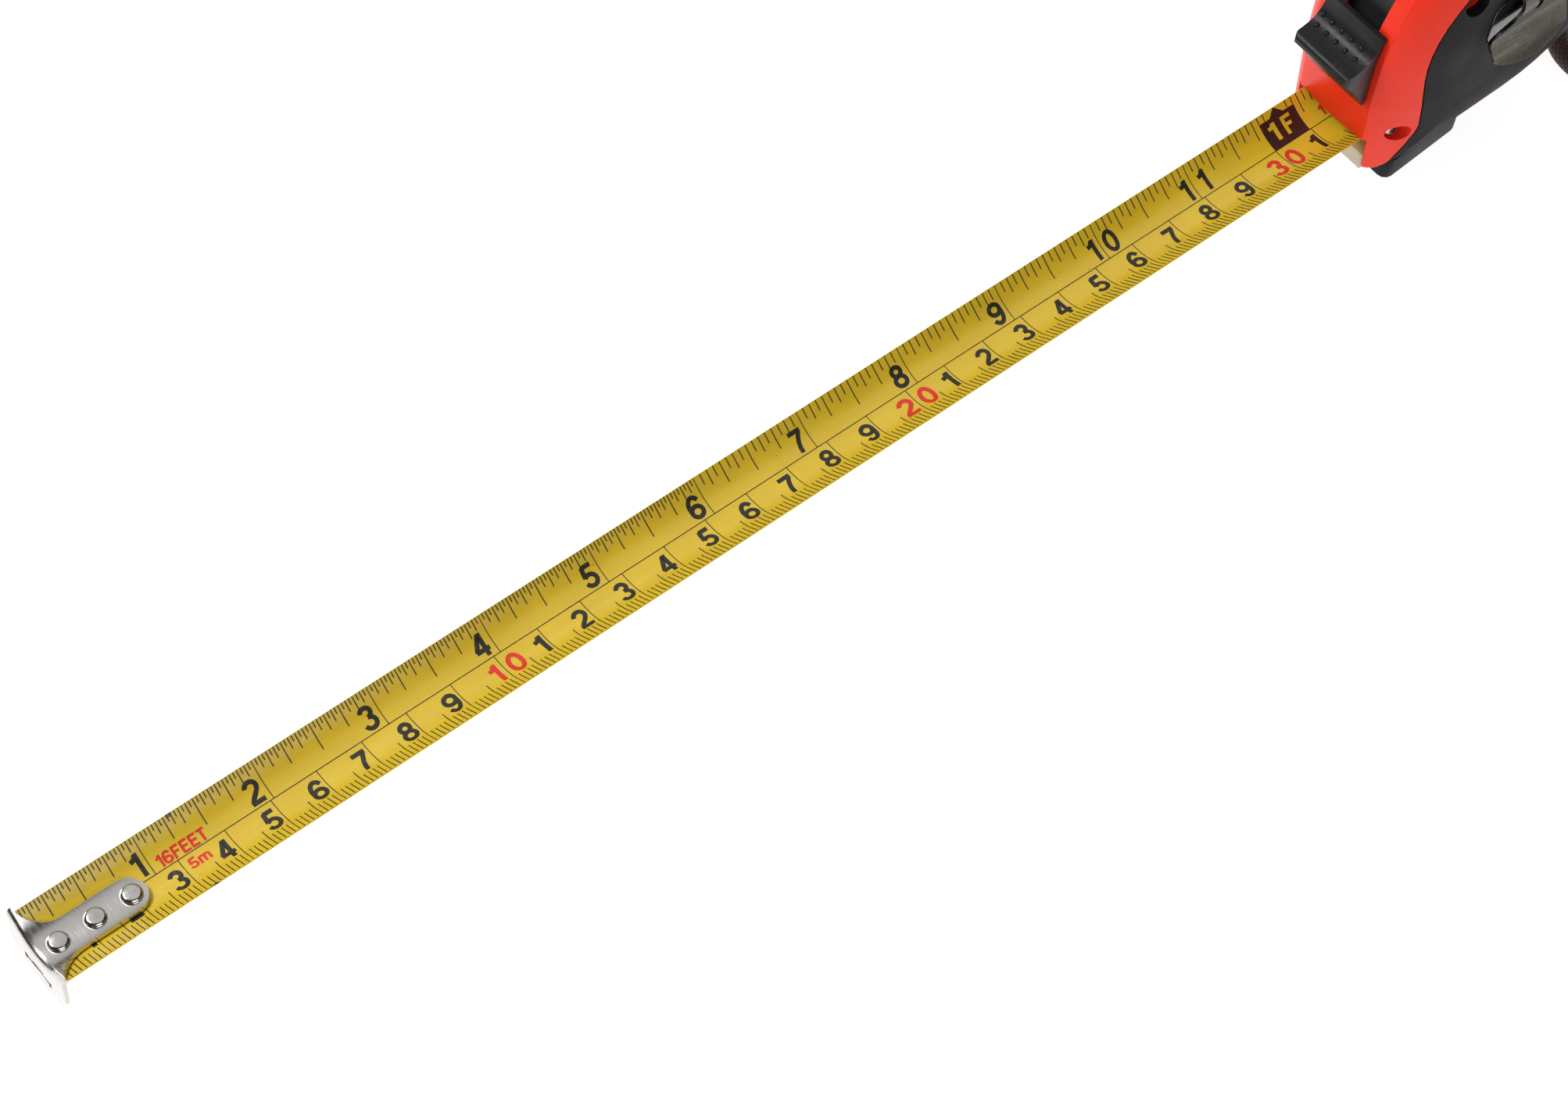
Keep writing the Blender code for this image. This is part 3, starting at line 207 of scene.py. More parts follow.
# placed in every moulded or rubber finish
def mouldedGrainGroup():
    tree, source, sink = newGroup(
        "mouldedGrain",
        (("Place", "NodeSocketVector", None), ("Scale", "NodeSocketFloat", 3000.0)),
        (("Height", "NodeSocketFloat"), ("Cloud", "NodeSocketFloat")),
    )
    place, scale = source.outputs["Place"], source.outputs["Scale"]
    fine = noiseNode(tree, place, scale, 2.0)
    wide = noiseNode(tree, place, mathNode(tree, "MULTIPLY", scale, 0.02), 4.0)
    pits = tree.nodes.new("ShaderNodeTexVoronoi")
    wire(tree, place, pits.inputs["Vector"])
    wire(tree, mathNode(tree, "MULTIPLY", scale, 0.8), pits.inputs["Scale"])
    height = mathNode(tree, "ADD", fine, mathNode(tree, "MULTIPLY", pits.outputs["Distance"], 0.5))
    wire(tree, height, sink.inputs["Height"])
    wire(tree, wide, sink.inputs["Cloud"])
    return tree


def hairScratchGroup():
    tree, source, sink = newGroup(
        "hairScratch",
        (("Place", "NodeSocketVector", None), ("Scale", "NodeSocketFloat", 900.0),
         ("Cover", "NodeSocketFloat", 0.1)),
        (("Mask", "NodeSocketFloat"),),
    )
    place, scale = source.outputs["Place"], source.outputs["Scale"]
    total = None
    for stretch, turn in (((0.04, 1, 1), 0.35), ((1, 0.05, 1), -0.5), ((0.06, 1, 1), 1.2)):
        lines = noiseNode(tree, stretched(tree, place, stretch, (0, 0.3 * turn, turn)), scale, 1.0)
        near = mathNode(tree, "ABSOLUTE", mathNode(tree, "SUBTRACT", lines, 0.5))
        thin = mathNode(tree, "SUBTRACT", 1.0, mathNode(tree, "MULTIPLY", near, 60.0), True)
        total = thin if total is None else mathNode(tree, "MAXIMUM", total, thin)
    patches = noiseNode(tree, place, mathNode(tree, "MULTIPLY", scale, 0.12), 3.0)
    where = rangeNode(tree, patches, 0.52, 0.68)
    mask = mathNode(tree, "MULTIPLY", mathNode(tree, "MULTIPLY", total, where), source.outputs["Cover"], True)
    wire(tree, mask, sink.inputs["Mask"])
    return tree


def toneGroup():
    tree, source, sink = newGroup(
        "toneDrift",
        (
            ("Place", "NodeSocketVector", None), ("Scale", "NodeSocketFloat", 60.0),
            ("Colour", "NodeSocketColor", (0.5, 0.5, 0.5, 1)),
            ("Shade", "NodeSocketColor", (0.4, 0.4, 0.4, 1)),
            ("Reach", "NodeSocketFloat", 0.5),
        ),
        (("Colour", "NodeSocketColor"),),
    )
    place, scale = source.outputs["Place"], source.outputs["Scale"]
    cloud = noiseNode(tree, place, scale, 5.0, 0.55)
    share = mathNode(tree, "MULTIPLY", rangeNode(tree, cloud, 0.35, 0.7), source.outputs["Reach"], True)
    wire(tree, mixColour(tree, share, source.outputs["Colour"], source.outputs["Shade"]),
         sink.inputs["Colour"])
    return tree


sharedGroups = {"grain": mouldedGrainGroup(), "scratch": hairScratchGroup(), "tone": toneGroup()}


def placeGroup(tree, name, place, **values):
    node = tree.nodes.new("ShaderNodeGroup")
    node.node_tree = sharedGroups[name]
    wire(tree, place, node.inputs["Place"])
    for label, value in values.items():
        node.inputs[label].default_value = (*value, 1) if isinstance(value, tuple) else value
    return node.outputs


plainSockets = {
    "Coat Weight": "coat",
    "Coat Roughness": "coatRoughness",
    "Specular IOR Level": "specular",
    "Sheen Weight": "sheen",
    "Sheen Roughness": "sheenRoughness",
}


# a Principled material with its plain values set, and the tree, shader and object place
def startMaterial(name, look):
    made = bpy.data.materials.new(name)
    made.use_nodes = True
    tree = made.node_tree
    shader = tree.nodes["Principled BSDF"]
    shader.inputs["Metallic"].default_value = look.get("metallic", 0.0)
    shader.inputs["Roughness"].default_value = look["roughness"]
    for label, key in plainSockets.items():
        if key in look:
            shader.inputs[label].default_value = look[key]
    place = tree.nodes.new("ShaderNodeTexCoord").outputs["Object"]
    return made, tree, shader, place


def bumpFrom(tree, shader, height, distance, strength=1.0):
    bump = tree.nodes.new("ShaderNodeBump")
    bump.inputs["Distance"].default_value = distance
    bump.inputs["Strength"].default_value = strength
    wire(tree, height, bump.inputs["Height"])
    wire(tree, bump.outputs["Normal"], shader.inputs["Normal"])


# tone and scratches over the whole piece, with the roughness following a pattern between two of its levels
def paintSurface(tree, shader, place, look, pattern, levels, scratchRough):
    tone = placeGroup(tree, "tone", place, Scale=look["toneScale"], Reach=look["toneReach"],
                      Colour=look["colour"], Shade=look["shade"])
    scratch = placeGroup(tree, "scratch", place, Scale=look["scratchScale"], Cover=look["scratchCover"])
    colour = mixColour(tree, scratch["Mask"], tone["Colour"], look["scratchColour"])
    wire(tree, colour, shader.inputs["Base Color"])
    least, most = look["roughness"] - look["roughDrift"], look["roughness"] + look["roughDrift"]
    rough = rangeNode(tree, pattern, *levels, least, most)
    scuffed = mathNode(tree, "ADD", rough, mathNode(tree, "MULTIPLY", scratch["Mask"], scratchRough))
    wire(tree, scuffed, shader.inputs["Roughness"])


def mouldedMaterial(name, look):
    made, tree, shader, place = startMaterial(name, look)
    grain = placeGroup(tree, "grain", place, Scale=look["grainScale"])
    paintSurface(tree, shader, place, look, grain["Cloud"], (0.3, 0.7), 0.2)
    bumpFrom(tree, shader, grain["Height"], look["grainDepth"], 0.6)
    return made


def metalMaterial(name, look):
    made, tree, shader, place = startMaterial(name, look)
    brush = noiseNode(tree, stretched(tree, place, look["brush"]), look["brushScale"], 2.0)
    paintSurface(tree, shader, place, look, brush, (0.25, 0.75), 0.15)
    bumpFrom(tree, shader, brush, look["brushDepth"], 0.35)
    return made


# values that most moulded pieces, and most metal ones, share
mouldedBase = dict(roughDrift=0.05, toneScale=90.0, toneReach=0.7, grainScale=3200.0, grainDepth=0.00003,
                   scratchScale=700.0, scratchCover=0.1)
metalBase = dict(metallic=1.0, roughDrift=0.06, toneReach=0.6, brush=(1, 1, 1), brushDepth=0.00002,
                 scratchScale=700.0, scratchCover=0.2)

finishes = {
    "caseOrange": dict(mouldedBase, colour=(0.9, 0.03, 0.006), shade=(0.78, 0.022, 0.005), roughness=0.4,
                       toneScale=45.0, toneReach=0.6, grainScale=5200.0, scratchCover=0.12,
                       scratchColour=(1.0, 0.16, 0.08), specular=0.22),
    "rubberBlack": dict(mouldedBase, colour=(0.009, 0.009, 0.0095), shade=(0.006, 0.006, 0.0065),
                        roughness=0.6, roughDrift=0.07, toneScale=60.0, toneReach=0.8, grainScale=4200.0,
                        grainDepth=0.00006, scratchScale=500.0, scratchColour=(0.03, 0.03, 0.03),
                        specular=0.15),
    "footBlack": dict(mouldedBase, colour=(0.008, 0.008, 0.009), shade=(0.006, 0.006, 0.0065), roughness=0.5,
                      roughDrift=0.07, toneScale=80.0, grainScale=3600.0, grainDepth=0.00005,
                      scratchScale=600.0, scratchCover=0.15, scratchColour=(0.03, 0.03, 0.03), specular=0.18),
    "guideIvory": dict(mouldedBase, colour=(0.66, 0.63, 0.53), shade=(0.5, 0.47, 0.38), roughness=0.42,
                       toneScale=180.0, grainScale=4000.0, scratchScale=900.0, scratchCover=0.25,
                       scratchColour=(0.4, 0.36, 0.28)),
    "sliderBlack": dict(mouldedBase, colour=(0.011, 0.011, 0.012), shade=(0.008, 0.008, 0.009),
                        roughness=0.36, roughDrift=0.08, toneScale=200.0, toneReach=0.8, grainScale=3800.0,
                        grainDepth=0.00004, scratchScale=900.0, scratchCover=0.3,
                        scratchColour=(0.08, 0.08, 0.085), specular=0.25),
    "innerBlack": dict(mouldedBase, colour=(0.02, 0.02, 0.022), shade=(0.014, 0.014, 0.016), roughness=0.45,
                       scratchColour=(0.06, 0.06, 0.06)),
    "reelGrey": dict(mouldedBase, colour=(0.2, 0.2, 0.21), shade=(0.15, 0.15, 0.16), roughness=0.45,
                     toneReach=0.6, scratchColour=(0.3, 0.3, 0.3)),
    "labelGloss": dict(mouldedBase, colour=(0.02, 0.02, 0.024), shade=(0.03, 0.03, 0.034), roughness=0.14,
                       roughDrift=0.04, toneScale=70.0, toneReach=0.5, grainScale=1500.0, grainDepth=0.00001,
                       scratchScale=600.0, scratchCover=0.25, scratchColour=(0.12, 0.12, 0.12), coat=0.5,
                       coatRoughness=0.08),
    "hookNickel": dict(metalBase, colour=(0.6, 0.575, 0.55), shade=(0.46, 0.44, 0.42), roughness=0.26,
                       roughDrift=0.07, toneScale=260.0, toneReach=0.5, brush=(1, 0.12, 0.4),
                       brushScale=2600.0, scratchScale=800.0, scratchCover=0.35,
                       scratchColour=(0.8, 0.79, 0.77)),
    "rivetNickel": dict(metalBase, colour=(0.6, 0.59, 0.565), shade=(0.46, 0.45, 0.43), roughness=0.2,
                        toneScale=500.0, brushScale=2200.0, brushDepth=0.00003, scratchScale=900.0,
                        scratchCover=0.3, scratchColour=(0.8, 0.79, 0.77)),
    "clipSteel": dict(metalBase, colour=(0.11, 0.1, 0.082), shade=(0.06, 0.055, 0.045), roughness=0.26,
                      roughDrift=0.08, toneScale=120.0, toneReach=0.8, brush=(1, 0.1, 0.3),
                      brushScale=1900.0, brushDepth=0.00001, scratchScale=420.0, scratchCover=0.25,
                      scratchColour=(0.4, 0.38, 0.34)),
    "screwSteel": dict(metalBase, colour=(0.5, 0.49, 0.47), shade=(0.33, 0.32, 0.3), roughness=0.3,
                       roughDrift=0.08, toneScale=500.0, toneReach=0.7, brushScale=1800.0,
                       brushDepth=0.00003, scratchScale=900.0, scratchCover=0.4,
                       scratchColour=(0.75, 0.74, 0.72)),
    "springSteel": dict(metalBase, colour=(0.3, 0.31, 0.34), shade=(0.22, 0.22, 0.26), roughness=0.3,
                        toneScale=120.0, brush=(1, 0.1, 1), brushScale=1500.0,
                        scratchColour=(0.6, 0.6, 0.62)),
    "nutBrass": dict(metalBase, colour=(0.62, 0.43, 0.16), shade=(0.45, 0.3, 0.1), roughness=0.32,
                     toneScale=300.0, brushScale=1500.0, scratchColour=(0.8, 0.65, 0.35)),
}

materials = {}
for finishName, look in finishes.items():
    maker = metalMaterial if look.get("metallic") else mouldedMaterial
    materials[finishName] = maker(finishName, look)


bladePaint = {
    "yellow": (0.72, 0.5, 0.022),
    "shade": (0.6, 0.4, 0.016),
    "bare": (0.1, 0.085, 0.06),
    "scratch": (0.85, 0.7, 0.2),
    "roughness": 0.3,
    "streakScale": 520.0,
    "streakStretch": (0.06, 1, 1),
    "speckScale": 900.0,
    "chipRag": 1.6 * mm,       # how far the chips' edges wander
    "chips": ((-315.0, 8.35, 12.2, 0.75), (-316.2, -8.35, 12.2, 0.7)),  # x, y, z and reach in mm
}


def bladeYellowMaterial():
    look = dict(roughness=bladePaint["roughness"], coat=0.35, coatRoughness=0.22)
    made, tree, shader, place = startMaterial("bladeYellow", look)
    along = stretched(tree, place, bladePaint["streakStretch"])
    streak = noiseNode(tree, along, bladePaint["streakScale"], 4.0)
    tone = placeGroup(tree, "tone", place, Scale=90.0, Colour=bladePaint["yellow"],
                      Shade=bladePaint["shade"], Reach=0.45)
    streaky = mixColour(tree, rangeNode(tree, streak, 0.35, 0.75, 0.0, 0.35), tone["Colour"],
                        bladePaint["shade"])
    dots = noiseNode(tree, place, bladePaint["speckScale"], 2.0)
    specks = mathNode(tree, "MULTIPLY", rangeNode(tree, dots, 0.73, 0.77), 0.5, True)
    scratch = placeGroup(tree, "scratch", along, Scale=900.0, Cover=0.25)
    worn = mixColour(tree, specks, mixColour(tree, scratch["Mask"], streaky, bladePaint["scratch"]),
                     bladePaint["bare"])
    ragged = mathNode(tree, "MULTIPLY", noiseNode(tree, place, 1500.0, 3.0), bladePaint["chipRag"])
    for x, y, z, reach in bladePaint["chips"]:
        gap = tree.nodes.new("ShaderNodeVectorMath")
        gap.operation = "DISTANCE"
        wire(tree, place, gap.inputs[0])
        gap.inputs[1].default_value = (x * mm, y * mm, z * mm)
        spread = mathNode(tree, "ADD", gap.outputs["Value"], ragged)
        chip = rangeNode(tree, spread, (reach + 0.85) * mm, (reach + 0.7) * mm)
        worn = mixColour(tree, chip, worn, bladePaint["bare"])
    wire(tree, worn, shader.inputs["Base Color"])
    wire(tree, rangeNode(tree, streak, 0.3, 0.7, 0.25, 0.38), shader.inputs["Roughness"])
    bumpFrom(tree, shader, streak, 0.00002, 0.4)
    return made


def inkMaterial(name, colour, faded):
    made, tree, shader, place = startMaterial(name, dict(roughness=0.38))
    cloud = noiseNode(tree, place, 1400.0, 4.0)
    worn = rangeNode(tree, cloud, 0.6, 0.72, 0.0, 0.55)
    wire(tree, mixColour(tree, worn, colour, faded), shader.inputs["Base Color"])
    wire(tree, rangeNode(tree, cloud, 0.3, 0.7, 0.32, 0.5), shader.inputs["Roughness"])
    return made


inks = {  # each ink's own colour, and where it has faded
    "inkBlack": ((0.018, 0.016, 0.013), (0.1, 0.08, 0.03)),
    "inkRed": ((0.68, 0.028, 0.012), (0.7, 0.16, 0.03)),
    "inkBox": ((0.035, 0.013, 0.01), (0.07, 0.035, 0.02)),
}

materials["bladeYellow"] = bladeYellowMaterial()
for inkName, (inkColour, fadedColour) in inks.items():
    materials[inkName] = inkMaterial(inkName, inkColour, fadedColour)


strapPaint = {
    "ribs": 12,             # ribs round the strap
    "ribPitch": 1.3 * mm,
    # painted shade: the colour for the braid's grooves, darker than the raised strands' own black
    "grooveShade": (0.008, 0.008, 0.009),
    "raised": (0.03, 0.03, 0.033),
    "depth": 0.15 * mm,
}


# a flat braid: ribs across the strap and a herringbone along it, on the strap's own map, with painted shade
# darkening the grooves of the weave
def strapMaterial():
    made, tree, shader, _ = startMaterial("strapBraid", dict(roughness=0.8, sheen=0.25, sheenRoughness=0.5))
    uv = tree.nodes.new("ShaderNodeUVMap")
    uv.uv_map = "strapMap"
    parts = tree.nodes.new("ShaderNodeSeparateXYZ")
    wire(tree, uv.outputs["UV"], parts.inputs[0])
    around = mathNode(tree, "MULTIPLY", parts.outputs[1], 2 * math.pi * strapPaint["ribs"])
    lengthways = mathNode(tree, "MULTIPLY", parts.outputs[0], 2 * math.pi / strapPaint["ribPitch"])
    first = mathNode(tree, "SINE", mathNode(tree, "ADD", lengthways, around))
    second = mathNode(tree, "SINE", mathNode(tree, "SUBTRACT", lengthways, around))
    weave = mathNode(tree, "MAXIMUM", first, second)
    fuzz = noiseNode(tree, uv.outputs["UV"], 3000.0, 3.0)
    # painted shade: the grooves of the weave get the darker colour, the raised strands the braid's own black
    braidWithShade = mixColour(tree, rangeNode(tree, weave, -1.0, 1.0), strapPaint["grooveShade"], strapPaint["raised"])
    wire(tree, braidWithShade, shader.inputs["Base Color"])
    wire(tree, rangeNode(tree, fuzz, 0.3, 0.7, 0.7, 0.9), shader.inputs["Roughness"])
    bumpFrom(tree, shader, mathNode(tree, "ADD", weave, mathNode(tree, "MULTIPLY", fuzz, 0.4)),
             strapPaint["depth"], 0.8)
    return made


materials["strapBraid"] = strapMaterial()
print("materials made:", len(materials))


# mesh helpers


def deselectAll():
    if bpy.context.mode != "OBJECT":
        bpy.ops.object.mode_set(mode="OBJECT")
    bpy.ops.object.select_all(action="DESELECT")


def pick(*objects):
    deselectAll()
    for obj in objects:
        obj.select_set(True)
    bpy.context.view_layer.objects.active = objects[-1]


def rename(obj, name):
    obj.name = name
    obj.data.name = name
    return obj


def modify(obj, kind, **settings):
    modifier = obj.modifiers.new(kind, kind)
    for label, value in settings.items():
        setattr(modifier, label, value)
    pick(obj)
    bpy.ops.object.modifier_apply(modifier=modifier.name)
    return obj


# runs edit mode operators, each with its settings, on the whole of a mesh
def editAll(obj, *steps):
    pick(obj)
    bpy.ops.object.mode_set(mode="EDIT")
    bpy.ops.mesh.select_all(action="SELECT")
    for step, settings in steps:
        step(**settings)
    bpy.ops.object.mode_set(mode="OBJECT")
    return obj


def tidyMesh(obj, within=0.01 * mm):
    return editAll(obj, (bpy.ops.mesh.remove_doubles, {"threshold": within}),
                   (bpy.ops.mesh.normals_make_consistent, {"inside": False}))


# deletes the faces whose middles are chosen
def cutFaces(piece, isCut):
    pick(piece)
    bpy.ops.object.mode_set(mode="EDIT")
    bpy.ops.mesh.select_all(action="DESELECT")
    bpy.ops.mesh.select_mode(type="FACE")
    bpy.ops.object.mode_set(mode="OBJECT")
    for face in piece.data.polygons:
        face.select = isCut(face.center)
    bpy.ops.object.mode_set(mode="EDIT")
    bpy.ops.mesh.delete(type="FACE")
    bpy.ops.object.mode_set(mode="OBJECT")
    tidyMesh(piece)


# turns a flat sheet's faces over if most of them look away from a direction
def faceTowards(piece, way):
    if sum(face.normal.dot(Vector(way)) * face.area for face in piece.data.polygons) < 0:
        editAll(piece, (bpy.ops.mesh.flip_normals, {}))


# gives a folded sheet its thickness, its broken edges and its smooth bends
def sheetMetal(piece, thick, side, edge, segments, angle):
    modify(piece, "SOLIDIFY", thickness=thick, offset=side, use_even_offset=True)
    modify(piece, "BEVEL", width=edge, segments=segments, limit_method="ANGLE",
           angle_limit=math.radians(angle))
    modify(piece, "SUBSURF", levels=1, render_levels=1)


def settle(obj):
    pick(obj)
    bpy.ops.object.transform_apply(location=True, rotation=True, scale=True)
    return obj


def joined(name, pieces):
    pick(*pieces)
    if len(pieces) > 1:
        bpy.ops.object.join()
    return rename(bpy.context.object, name)


def dress(obj, material, body, angle=40):
    obj.data.materials.clear()
    obj.data.materials.append(materials[material])
    pick(obj)
    bpy.ops.object.shade_smooth_by_angle(angle=math.radians(angle))
    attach(obj, body)
    return obj


# a merged copy of a CAD node, to be finished as a piece of its own
def copyOfNode(node, name):
    piece = nodes[node].copy()
    piece.data = nodes[node].data.copy()
    for key in list(piece.keys()):
        del piece[key]
    piece.parent = None
    bpy.context.scene.collection.objects.link(piece)
    rename(piece, name)
    pick(piece)
    bpy.ops.mesh.customdata_custom_splitnormals_clear()
    return editAll(piece, (bpy.ops.mesh.remove_doubles, {"threshold": 0.002 * mm}))


makeCamera()
makeStudio()
print("camera, floor and lamps set")


# wrist strap, a free cord

strap = {
    "route": (  # metres, from one side of the pin round to the other
        (0.0312, -0.0026, 0.0162), (0.0334, -0.0029, 0.0126), (0.0334, -0.0038, 0.0086),
        (0.0306, -0.006, 0.0049), (0.0267, -0.009, 0.003), (0.0245, -0.0128, 0.0028),
        (0.024, -0.018, 0.0028), (0.0254, -0.026, 0.0028), (0.0302, -0.034, 0.0028),
        (0.039, -0.04, 0.0028), (0.05, -0.0424, 0.0028), (0.062, -0.041, 0.0028),
        (0.073, -0.0354, 0.0028), (0.081, -0.0262, 0.0028), (0.084, -0.0144, 0.0028),
        (0.0816, -0.0026, 0.0028), (0.0738, 0.0068, 0.0028), (0.0624, 0.0112, 0.0028),
        (0.0512, 0.0102, 0.0028), (0.043, 0.0068, 0.0032), (0.038, 0.0041, 0.006),
        (0.035, 0.003, 0.0106), (0.0312, 0.0026, 0.0162),
    ),
    "width": 5.0 * mm,
    "step": 0.9 * mm,
    "sides": 16,
}


def smoothRoute(points, step):
    route = [Vector(p) for p in points]
    ends = [route[0] * 2 - route[1]] + route + [route[-1] * 2 - route[-2]]
    made = [route[0]]
    for a, b, c, d in zip(ends, ends[1:], ends[2:], ends[3:]):
        count = max(1, math.ceil((c - b).length / step))
        for k in range(1, count + 1):
            t = k / count
            made.append(0.5 * (2 * b + (c - a) * t + (2 * a - 5 * b + 4 * c - d) * t ** 2
                               + (3 * b - a - 3 * c + d) * t ** 3))
    return made


def makeStrap():
    path = smoothRoute(strap["route"], strap["step"])
    radius, sides = strap["width"] / 2, strap["sides"]
    mesh = bmesh.new()
    uvs = mesh.loops.layers.uv.new("strapMap")
    rings, far = [], [0.0]
    side = Vector((0, 1, 0))
    for k, point in enumerate(path):
        ahead = (path[min(k + 1, len(path) - 1)] - path[max(k - 1, 0)]).normalized()
        side = (side - ahead * side.dot(ahead)).normalized()
        lift = ahead.cross(side)
        ring = []
        for n in range(sides):
            angle = 2 * math.pi * n / sides
            ring.append(mesh.verts.new(point + radius * (math.cos(angle) * side + math.sin(angle) * lift)))
        rings.append(ring)
        if k:
            far.append(far[-1] + (point - path[k - 1]).length)
    for k in range(len(rings) - 1):
        for n in range(sides):
            m = (n + 1) % sides
            face = mesh.faces.new((rings[k][n], rings[k][m], rings[k + 1][m], rings[k + 1][n]))
            corners = ((far[k], n / sides), (far[k], (n + 1) / sides), (far[k + 1], (n + 1) / sides),
                       (far[k + 1], n / sides))
            for loop, corner in zip(face.loops, corners):
                loop[uvs].uv = corner
    mesh.faces.new(rings[0])
    mesh.faces.new(rings[-1])
    bmesh.ops.recalc_face_normals(mesh, faces=mesh.faces)
    data = bpy.data.meshes.new("strapLoop")
    mesh.to_mesh(data)
    mesh.free()
    piece = bpy.data.objects.new("strapLoop", data)
    bpy.context.scene.collection.objects.link(piece)
    dress(piece, "strapBraid", "case", 50)
    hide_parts("wrist_strap")
    print("strap length in mm:", round(far[-1] / mm, 1))


makeStrap()


# blade and its printing

blade = {
    "zeroX": -348.0 * mm,
    "startX": -346.95 * mm,
    "seamX": -323.4 * mm,      # the rigid end piece stops here
    "innerX": -12.5 * mm,
    "travel": 310.5 * mm,
    "width": 19.0 * mm,
    "thick": 0.15 * mm,
    "curve": 10.4 * mm,
    "arcHalf": 6.8 * mm,
    "lowZ": 8.5 * mm,
    "inkLift": 0.012 * mm,
    "inkThick": 0.03 * mm,
}


# y and z of the cross section at arc length s, offset over the lower face
def section(s, offset):
    turn = blade["arcHalf"] / blade["curve"]
    angle = max(-turn, min(turn, s / blade["curve"]))
    rest = s - angle * blade["curve"]
    y = blade["curve"] * math.sin(angle) + rest * math.cos(angle)
    z = blade["curve"] * (1 - math.cos(angle)) + abs(rest) * math.sin(abs(angle))
    return y - offset * math.sin(angle), blade["lowZ"] + z + offset * math.cos(angle)


# rolls a flat piece, drawn with y as arc length and z as height, onto the blade's section
def wrapOnBlade(obj, offset):
    low = min(vertex.co.z for vertex in obj.data.vertices)
    for vertex in obj.data.vertices:
        x, s, rise = vertex.co
        y, z = section(s, offset + rise - low)
        vertex.co = (x, y, z)
    return obj


def flatStrip(name, x0, x1, cutsAlong, cutsAcross):
    bpy.ops.mesh.primitive_grid_add(x_subdivisions=cutsAlong, y_subdivisions=cutsAcross, size=1,
                                    location=((x0 + x1) / 2, 0, 0))
    piece = rename(bpy.context.object, name)
    piece.scale = (x1 - x0, blade["width"], 1)
    settle(piece)
    return modify(piece, "SOLIDIFY", thickness=blade["thick"], offset=1)


def makeBlade():
    for name, x0, x1, body, along in (
        ("bladeFront", blade["startX"], blade["seamX"], "blade", 6),
        ("bladeRun", blade["seamX"], blade["innerX"], "case", 60),
    ):
        deselectAll()
        piece = flatStrip(name, x0, x1, along, 26)
        wrapOnBlade(piece, 0.0)
        tidyMesh(piece)
        dress(piece, "bladeYellow", body, 30)
        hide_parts("tape_blade")
        if body == "case":
            foldAway(piece)


# gives a piece that rides with the case a mesh of its own
def foldAway(piece):
    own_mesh(piece)


inch = 25.4  # mm

marks = {
    "lastMark": 330,             # mm from the hook
    "centreLine": 1.30,
    "lineWidth": 0.17,
    "tickWidth": 0.22,
    "topEdge": 9.42,
    "lowEdge": -9.3,
    "inchTicks": {32: 8.15, 16: 7.15, 8: 6.25, 4: 5.0, 2: 3.95},   # where each fraction's tick ends
    "mmTick": -5.35,
    "halfTick": -3.25,
    "inchRow": (1.95, 6.75),     # foot and head of the inch figures
    "cmRow": (-4.8, 0.02),
}

figureRows = {
    "inkBlack": (  # text, left edge, right edge, foot, head, all in mm on the blade
        *((str(n), inch * n - 0.95 - (1.9 if n == 1 else 3.1), inch * n - 0.95,
           *marks["inchRow"]) for n in range(1, 10)),
        ("1", 251.0, 252.95, *marks["inchRow"]), ("0", 255.05, 258.1, *marks["inchRow"]),
        ("1", 276.3, 278.3, *marks["inchRow"]), ("1", 281.2, 283.15, *marks["inchRow"]),
        *((str(n % 10), 10 * n - 0.6 - (2.0 if n % 10 == 1 else 3.0), 10 * n - 0.6, *marks["cmRow"])
          for n in range(1, 32) if n % 10),
    ),
    "inkRed": (
        ("1", 97.0, 98.95, *marks["cmRow"]), ("0", 100.9, 104.1, *marks["cmRow"]),
        ("2", 196.0, 199.4, *marks["cmRow"]), ("0", 201.1, 204.3, *marks["cmRow"]),
        ("3", 295.5, 298.8, *marks["cmRow"]), ("0", 300.4, 303.6, *marks["cmRow"]),
        ("16FEET", 26.7, 37.1, 1.65, 4.15), ("5m", 31.1, 35.5, -1.95, 0.35), ("1", 314.2, 315.4, 2.2, 4.6),
    ),
    "bladeYellow": (("1", 301.3, 303.4, 2.8, 6.85), ("F", 305.1, 307.7, 2.8, 6.85)),
}

figureNames = {"inkBlack": "figuresBlack", "inkRed": "figuresRed", "bladeYellow": "figuresYellow"}

footBox = {"left": 299.95, "right": 309.7, "foot": 1.3, "head": 7.75, "tip": 304.8, "tipHalf": 2.0,
           "tipHead": 9.45}


strokeWidth = 0.92


# points of part of an ellipse, from one angle to another in degrees
def turnPoints(x, y, wide, tall, start, stop, count=14):
    angles = [math.radians(start + (stop - start) * k / count) for k in range(count + 1)]
    return [(x + wide * math.cos(a), y + tall * math.sin(a)) for a in angles]


